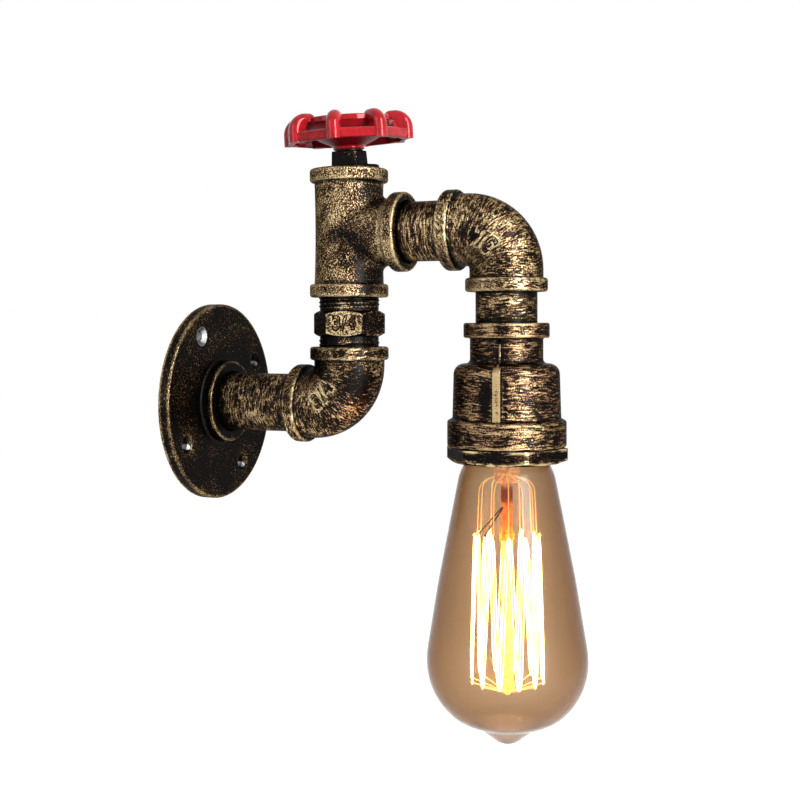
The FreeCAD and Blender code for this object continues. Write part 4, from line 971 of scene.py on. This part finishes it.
@dataclass
class LampCup:
    """The reducing socket, its ring and the lampholder inside. Sizes are in millimetres."""

    nodes: dict[str, bpy.types.Object]
    drop_reach: float = DROP_REACH
    rib_turn: float = 189.0
    seam_start: float = 6.6
    neck_radius: float = 15.5
    neck_foot: tuple[float, float] = (0.6, 2.0)
    body_radius: float = 22.35
    shoulder: float = 17.6
    shoulder_round: float = 4.5
    seam_foot: float = 24.6
    seam_width: float = 0.9
    seam_proud: float = 0.4

    def build(self) -> None:
        """Dresses the cup's pieces and raises its parting line."""
        # Black beside the rib, bronze on it, and a thin black line down its other side and to the right. The
        # thin black line is a painted shadow line.
        patches = [(-12.5, depth, 4.2, -0.3) for depth in (26.0, 31.0, 36.0)]
        patches += [(0.0, depth, 3.6, 0.24) for depth in (22.0, 26.0, 30.0, 34.0, 38.0)]
        patches += [(8.6, depth, 1.5, -0.5) for depth in (25.0, 27.5, 30.0, 32.5, 35.0, 37.5, 40.0)]
        patches += [(turn, 41.0, 1.9, -0.5) for turn in (13.0, 19.0, 25.0, 31.0, 37.0, 43.0)]
        cup = BrushedBronze("cup_bronze_sweep", Stroke.ROUND_DROP, cover=0.49, gold="#7d6144",
                            copper="#744f3b", bright="#a08c66",
                            rubs_and_shades=tuple(self.beside_rib(*patch) for patch in patches))
        made = dress_nodes(self.nodes, {
            cup: ("reducing_socket",),
            BrushedBronze("ring_bronze", Stroke.ROUND_DROP, long=4.0, cover=0.2, edge_gain=0.3): (
                "holder_ring",),
            # Creamy white under a clear, shiny glaze.
            Moulded("glazed_ceramic", "#e9e4d8", "#d8d0c0", 0.2, 0.5): ("lampholder_body",),
            # Warm yellow, duller where it is stained.
            PlainMetal("pressed_brass", "#c9a35a", "#a07c3c", 0.28): (
                "screw_shell", "centre_contact", "live_pillar", "neutral_pillar", "terminal_inserts"),
            PlainMetal("terminal_zinc_steel", "#b9bab6", "#8e8d86", 0.35): (
                "pillar_screws", "terminal_screws"),
            # Soft, evenly coloured plastic with hardly a shine.
            Moulded("brown_insulation", "#4c2a17", "#3a1f10"): ("live_lead",),
            Moulded("blue_insulation", "#1f4a8c", "#173a70"): ("neutral_lead",),
            Moulded("nylon_block", "#d8d6cc", "#c6c3b6", 0.45): ("terminal_block",),
        })
        for name, turn in (("front_seam", self.rib_turn), ("back_seam", self.rib_turn + 180.0)):
            self.parting_line(name, turn, made[cup])

    def beside_rib(self, turn: float, depth: float, reach: float, gain: float) -> RubAndShade:
        """Places a patch by the cup's rib with more or less bronze than its surroundings.

        Args:
            turn: Its place round the cup from the rib, in degrees.
            depth: Its place below the cup's top.
            reach: Its radius.
            gain: How much more bronze it has than its surroundings.

        Returns:
            The patch.
        """
        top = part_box("reducing_socket")[1][2] / MM
        place = math.radians(self.rib_turn + turn)
        return RubAndShade((self.body_radius * math.cos(place),
                    self.body_radius * math.sin(place) - self.drop_reach, top - depth), reach, gain)

    def parting_line(self, name: str, turn: float, material: bpy.types.Material) -> None:
        """Raises the mould's parting line down the neck and over the shoulder to a rib.

        Args:
            name: The piece's name.
            turn: Its place round the cup, in degrees.
            material: The cup's finish.
        """
        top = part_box("reducing_socket")[1][2] / MM
        neck, body = (radius + self.seam_proud / 2 for radius in (self.neck_radius, self.body_radius))
        neck_rise, neck_round = self.neck_foot
        path = rounded([(neck, top - self.seam_start), (neck, top - self.shoulder + neck_rise, neck_round),
                        (body, top - self.shoulder, self.shoulder_round), (body, top - self.seam_foot)])
        shape = bmesh.new()
        edges = drawn_line(shape, [(radius, -self.seam_width / 2, height) for radius, height in path])[1]
        strip = bmesh.ops.extrude_edge_only(shape, edges=edges)
        moved = [part for part in strip["geom"] if isinstance(part, bmesh.types.BMVert)]
        bmesh.ops.translate(shape, vec=(0, self.seam_width, 0), verts=moved)
        bmesh.ops.solidify(shape, geom=shape.faces, thickness=self.seam_proud)
        place = (Matrix.Translation((0, -self.drop_reach * MM, 0))
                 @ Matrix.Rotation(math.radians(turn), 4, "Z"))
        bmesh.ops.transform(shape, matrix=place @ Matrix.Scale(MM, 4), verts=shape.verts)
        finished(shape, name, material)


@dataclass
class Bulb:
    """The filament bulb. Sizes are in millimetres, and heights are below the cap's rim."""

    nodes: dict[str, bpy.types.Object]
    drop_reach: float = DROP_REACH
    wall: float = 0.9
    in_cap: float = 9.0
    neck_radius: float = 12.6
    neck_foot: tuple[float, float] = (1.0, 3.0)
    shoulder: tuple[float, float, float] = (19.9, 12.0, 24.0)
    girth: float = 34.2
    widest: float = 92.8
    flank_up: float = 34.0
    flank_turn: float = 9.4
    flank_round: float = 300.0
    waist_round: float = 40.0
    dome: float = 24.1
    dome_turn: float = 42.0
    dome_round: float = 29.0
    base_round: float = 21.0
    length: float = 127.3
    pip_radius: float = 13.6
    pip_high: float = 7.5
    pip_root_round: float = 6.0
    nose_radius: float = 3.6
    nose_round: float = 6.0
    arc_steps: int = 14
    spin_steps: int = 112
    cap_radius: float = 13.15
    cap_crest: float = 13.6
    cap_pitch: float = 3.629
    cap_thread_foot: float = 1.2
    cap_thread_turns: float = 4.6
    pinch: float = 17.5
    hooks: int = 12
    upper_ring: tuple[float, float] = (13.8, 39.5)
    lower_ring: tuple[float, float] = (15.5, 101.0)
    lead_in_turn: float = 142.5
    lead_in_spread: float = 11.5
    hook_gap: float = 0.6
    ply_radius: float = 0.2
    ply_root: float = 0.1
    ply_gap: float = 0.46
    ply_bow: float = 0.3
    run_steps: int = 9
    stem_zones: tuple[tuple[float, str, float], ...] = (
        (8.0, "#dcc4ac", 0.8), (0.0, "#dcb090", 0.75), (-3.0, "#8c3428", 0.4), (-7.0, "#98402c", 0.4),
        (-9.0, "#e8924c", 0.8), (-21.0, "#e8984c", 0.8), (-23.0, "#d09030", 0.7), (-26.0, "#fff6a8", 1.5),
        (-90.0, "#fff090", 1.5))
    hook_zones: tuple[tuple[float, str, float], ...] = ((0.0, "#f2d79a", 0.9), (-90.0, "#ffe8a8", 1.2))
    carbon_zones: tuple[tuple[float, str, float], ...] = ((0.0, "#ffb468", 30.0), (-10.0, "#ffba70", 46.0))

    def build(self) -> None:
        """Blows the glass, rolls the cap's thread and dresses the bulb's pieces."""
        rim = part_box("bulb_cap")[0][2] / MM
        self.blow_glass(rim)
        stem = self.glowing_zones(self.stem_zones, rim - self.pinch)
        hooks = self.glowing_zones(self.hook_zones, rim - self.pinch)
        brass = PlainMetal("cap_brass", "#c9a35a", "#a07c3c", 0.25)
        made = dress_nodes(self.nodes, {
            # Warm yellow with a soft shine.
            brass: ("bulb_cap",),
            # Near-black, with a sharp shine.
            Enamel("black_cap_glass", "#08080a", "#050506", 0.1, under="#060607"): ("cap_insulator",),
            PlainMetal("tip_solder", "#a9aaa8", "#8a8a88", 0.4): ("tip_contact",),
            # Pale at its flare, dark red at the pinch, orange below and yellow where the filament lights it.
            # Its glow is painted light from the filament.
            Lit("lit_lead_glass", stem, clear=0.6, roughness=0.2, grain=1.6, mottle=0.75): ("bulb_stem",),
            # The hooks' glow is painted light from the filament.
            Lit("hook_wire_painted_glow", hooks, grain=0.5): ("filament_supports",),
            # Dull; its brown is painted amber light.
            PlainMetal("nickel_wire", "#6a4a30", "#3c2414", 0.4): ("lead_in_wires",),
        })
        foot = Vector((0, -self.drop_reach, rim + self.cap_thread_foot)) * MM
        run = Thread(foot, self.cap_radius, self.cap_crest, self.cap_pitch, self.cap_thread_turns)
        finished(run.shape(), "cap_thread", made[brass], BULB_BODY)
        self.string_filament(rim)

    def glowing_zones(self, zones: tuple[tuple[float, str, float], ...], datum: float) -> tuple:
        """Puts zones at their heights: from a height to metres in the frame.

        Args:
            zones: Heights from the datum, each with its colour and its strength.
            datum: The height they start from.

        Returns:
            The same zones, with their heights in metres.
        """
        return tuple(((datum + height) * MM, colour, glow) for height, colour, glow in zones)

    def hook(self, ring: tuple[float, float], share: float, rim: float) -> Vector:
        """Finds a hook of one of the filament's two rings.

        Args:
            ring: The ring's radius, and its depth below the cap's rim.
            share: The hook's number, with a half for the lower ring.
            rim: Height of the cap's rim.

        Returns:
            The hook's place from the bulb's axis.
        """
        radius, depth = ring
        turn = math.radians(self.lead_in_turn + 360.0 * share / self.hooks)
        return Vector((radius * math.cos(turn), radius * math.sin(turn), rim - depth))

    def ply(self, side: float, rim: float) -> list[Vector]:
        """Follows one of the filament's two plies down and up round the hooks.

        Args:
            side: Which ply, one or minus one.
            rim: Height of the cap's rim.

        Returns:
            The points that its line follows.
        """
        spread = self.lead_in_spread / 360.0 * self.hooks
        upper = [spread, *range(1, self.hooks), self.hooks - spread]
        stops = []
        for number in range(self.hooks):
            stops.append((self.hook(self.upper_ring, upper[number], rim), self.hook_gap))
            stops.append((self.hook(self.lower_ring, number + 0.5, rim), -self.hook_gap))
        stops.append((self.hook(self.upper_ring, upper[-1], rim), self.hook_gap))
        points = []
        for (start, above), (end, below) in zip(stops[:-1], stops[1:]):
            along = Vector((-start.y, start.x, 0)).normalized()
            first = start + along * self.hook_gap + UP * above
            last = end - along * self.hook_gap + UP * below
            out = Vector((first.x, first.y, 0)).normalized()
            for step in range(self.run_steps + 1):
                share = step / self.run_steps
                bow = min(1.0, self.run_steps * min(share, 1 - share))
                points.append(first.lerp(last, share) + out * (self.ply_bow * bow)
                              + along * (side * (self.ply_root + self.ply_gap * bow)))
        return points

    def string_filament(self, rim: float) -> None:
        """Strings the carbon filament, two loose plies, round the hooks.

        Args:
            rim: Height of the cap's rim.
        """
        line = bpy.data.curves.new("carbon_plies", "CURVE")
        line.dimensions = "3D"
        line.bevel_depth = self.ply_radius
        line.bevel_resolution = 1
        line.resolution_u = 3
        line.use_fill_caps = True
        for side in (1.0, -1.0):
            points = self.ply(side, rim)
            spline = line.splines.new("NURBS")
            spline.points.add(len(points) - 1)
            for spot, point in zip(spline.points, points):
                spot.co = (*point, 1.0)
            spline.order_u = 3
            spline.use_endpoint_u = True
        shape = meshed(line)
        bmesh.ops.scale(shape, vec=(MM, MM, MM), verts=shape.verts)
        bmesh.ops.translate(shape, vec=(0, -self.drop_reach * MM, 0), verts=shape.verts)
        carbon = Lit("glowing_carbon", self.glowing_zones(self.carbon_zones, rim - self.upper_ring[1]))
        plies = finished(shape, "carbon_plies", carbon.make(), BULB_BODY)
        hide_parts("filament")

    def fall(self, run: float, rounding: float, turn: float) -> float:
        """Works out how far a side falls in from upright over a run, round an arc and on straight."""
        return run * math.tan(turn) - rounding * (1 / math.cos(turn) - 1)

    def blow_glass(self, rim: float) -> None:
        """Blows the envelope as one smooth wall, open at its neck.

        Args:
            rim: Height of the cap's rim.
        """
        widest = rim - self.widest
        tip = rim - self.length
        flank_turn = math.radians(self.flank_turn)
        dome_turn = math.radians(self.dome_turn)
        neck_low, neck_round = self.neck_foot
        shoulder_radius, shoulder_low, shoulder_round = self.shoulder
        corners = [(self.neck_radius, rim + self.in_cap), (self.neck_radius, rim - neck_low, neck_round),
                   (shoulder_radius, rim - shoulder_low, shoulder_round),
                   (self.girth - self.fall(self.flank_up, self.waist_round, flank_turn),
                    widest + self.flank_up, self.flank_round),
                   (self.girth, widest + self.waist_round * math.tan(flank_turn / 2), self.waist_round),
                   (self.girth, widest - self.dome_round * math.tan(dome_turn / 2), self.dome_round),
                   (self.girth - self.fall(self.dome, self.dome_round, dome_turn),
                    widest - self.dome, self.base_round),
                   (self.pip_radius, tip + self.pip_high, self.pip_root_round),
                   (self.nose_radius, tip, self.nose_round), (0.0, tip)]
        shape = bmesh.new()
        outline = rounded(corners, self.arc_steps)
        verts, edges = drawn_line(shape, [(radius * MM, 0, height * MM) for radius, height in outline])
        bmesh.ops.spin(shape, geom=verts + edges, cent=(0, 0, 0), axis=UP, angle=2 * math.pi,
                       steps=self.spin_steps, use_merge=True)
        bmesh.ops.remove_doubles(shape, verts=shape.verts, dist=0.01 * MM)
        bmesh.ops.translate(shape, vec=(0, -self.drop_reach * MM, 0), verts=shape.verts)
        glass = finished(shape, "blown_glass", BlownGlass("amber_soda_glass", "#c8a55c").make(), BULB_BODY)
        wall = glass.modifiers.new("wall", "SOLIDIFY")
        wall.thickness = self.wall * MM
        wall.offset = -1.0
        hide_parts("bulb_glass")


@dataclass
class Studio:
    """Camera, lights, floor and the white surround."""

    camera_place: tuple[float, float, float] = (-0.5312, -0.3301, 0.0364)
    camera_turn: float = -66.19
    camera_roll: float = 0.13
    lens: float = 59.57
    horizon_row: float = 322.28
    frame_size: float = 800.0
    floor_height: float = -0.40
    floor_glow: float = 0.93
    ambient: float = 0.09
    lamps: tuple[tuple[str, tuple[float, float, float], tuple[float, float], float], ...] = (
        ("key_softbox", (-0.50, -1.02, 0.33), (0.45, 1.2), 34.0),
        ("side_softbox", (-1.0, 0.35, 0.45), (0.6, 0.8), 4.0),
        ("back_softbox", (0.9, 0.2, 0.5), (0.9, 0.9), 2.0),
    )

    def build(self) -> None:
        """Sets the whole stage."""
        self.place_camera()
        self.place_lamps()
        self.light_world()
        self.lay_floor()
        bpy.context.scene.view_settings.view_transform = "Standard"

    def place_camera(self) -> None:
        """Places the camera at the photograph's viewing angle."""
        camera = bpy.data.cameras.new("camera")
        camera.lens = self.lens
        camera.shift_y = (self.horizon_row - self.frame_size / 2) / self.frame_size
        camera.clip_end = 20.0
        view = bpy.data.objects.new("camera", camera)
        view.location = self.camera_place
        view.rotation_euler = [math.radians(turn) for turn in (90.0, self.camera_roll, self.camera_turn)]
        bpy.context.scene.collection.objects.link(view)
        bpy.context.scene.camera = view

    def place_lamps(self) -> None:
        """Hangs the soft lamps, each aimed at the middle of the light."""
        low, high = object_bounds()
        middle = (Vector(low) + Vector(high)) / 2
        for name, place, (width, height), power in self.lamps:
            lamp = bpy.data.lights.new(name, "AREA")
            lamp.shape = "RECTANGLE"
            lamp.size = width
            lamp.size_y = height
            lamp.energy = power
            holder = bpy.data.objects.new(name, lamp)
            holder.location = place
            holder.rotation_euler = (middle - Vector(place)).to_track_quat("-Z", "Y").to_euler()
            holder.visible_camera = False
            holder.visible_transmission = False
            bpy.context.scene.collection.objects.link(holder)

    def light_world(self) -> None:
        """Makes the world soft light, and plain white where it is seen directly."""
        world = bpy.data.worlds.new("studio")
        bpy.context.scene.world = world
        world.use_nodes = True
        world.node_tree.nodes.clear()
        add = partial(add_node, world.node_tree)
        soft = add("Background", {"Color": "#ffffff", "Strength": self.ambient})
        white = add("Background", {"Color": "#ffffff", "Strength": 1.0})
        both = add("MixShader", {"Fac": seen_directly(add), 1: soft, 2: white})
        add("OutputWorld", {"Surface": both})

    def lay_floor(self) -> None:
        """Lays a pale floor well below the light, which it doesn't touch."""
        sheet = bmesh.new()
        bmesh.ops.create_grid(sheet, x_segments=1, y_segments=1, size=3.0,
                              matrix=Matrix.Translation((0.0, 0.0, self.floor_height)))
        mesh = bpy.data.meshes.new("floor")
        sheet.to_mesh(mesh)
        sheet.free()
        floor = bpy.data.objects.new("floor", mesh)
        bpy.context.scene.collection.objects.link(floor)
        dress(floor, FloorPaint("pale_floor_paint", self.floor_glow).make())
        floor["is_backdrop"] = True


def main() -> None:
    """Builds the pieces in order and sets the stage."""
    logging.basicConfig(level=logging.INFO, format="%(name)s %(message)s")
    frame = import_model()
    nodes = frame["nodes"]
    for piece in (Pipework(nodes), Wheel(nodes), LampCup(nodes), Bulb(nodes), Studio()):
        piece.build()


if __name__ == "__main__":
    main()
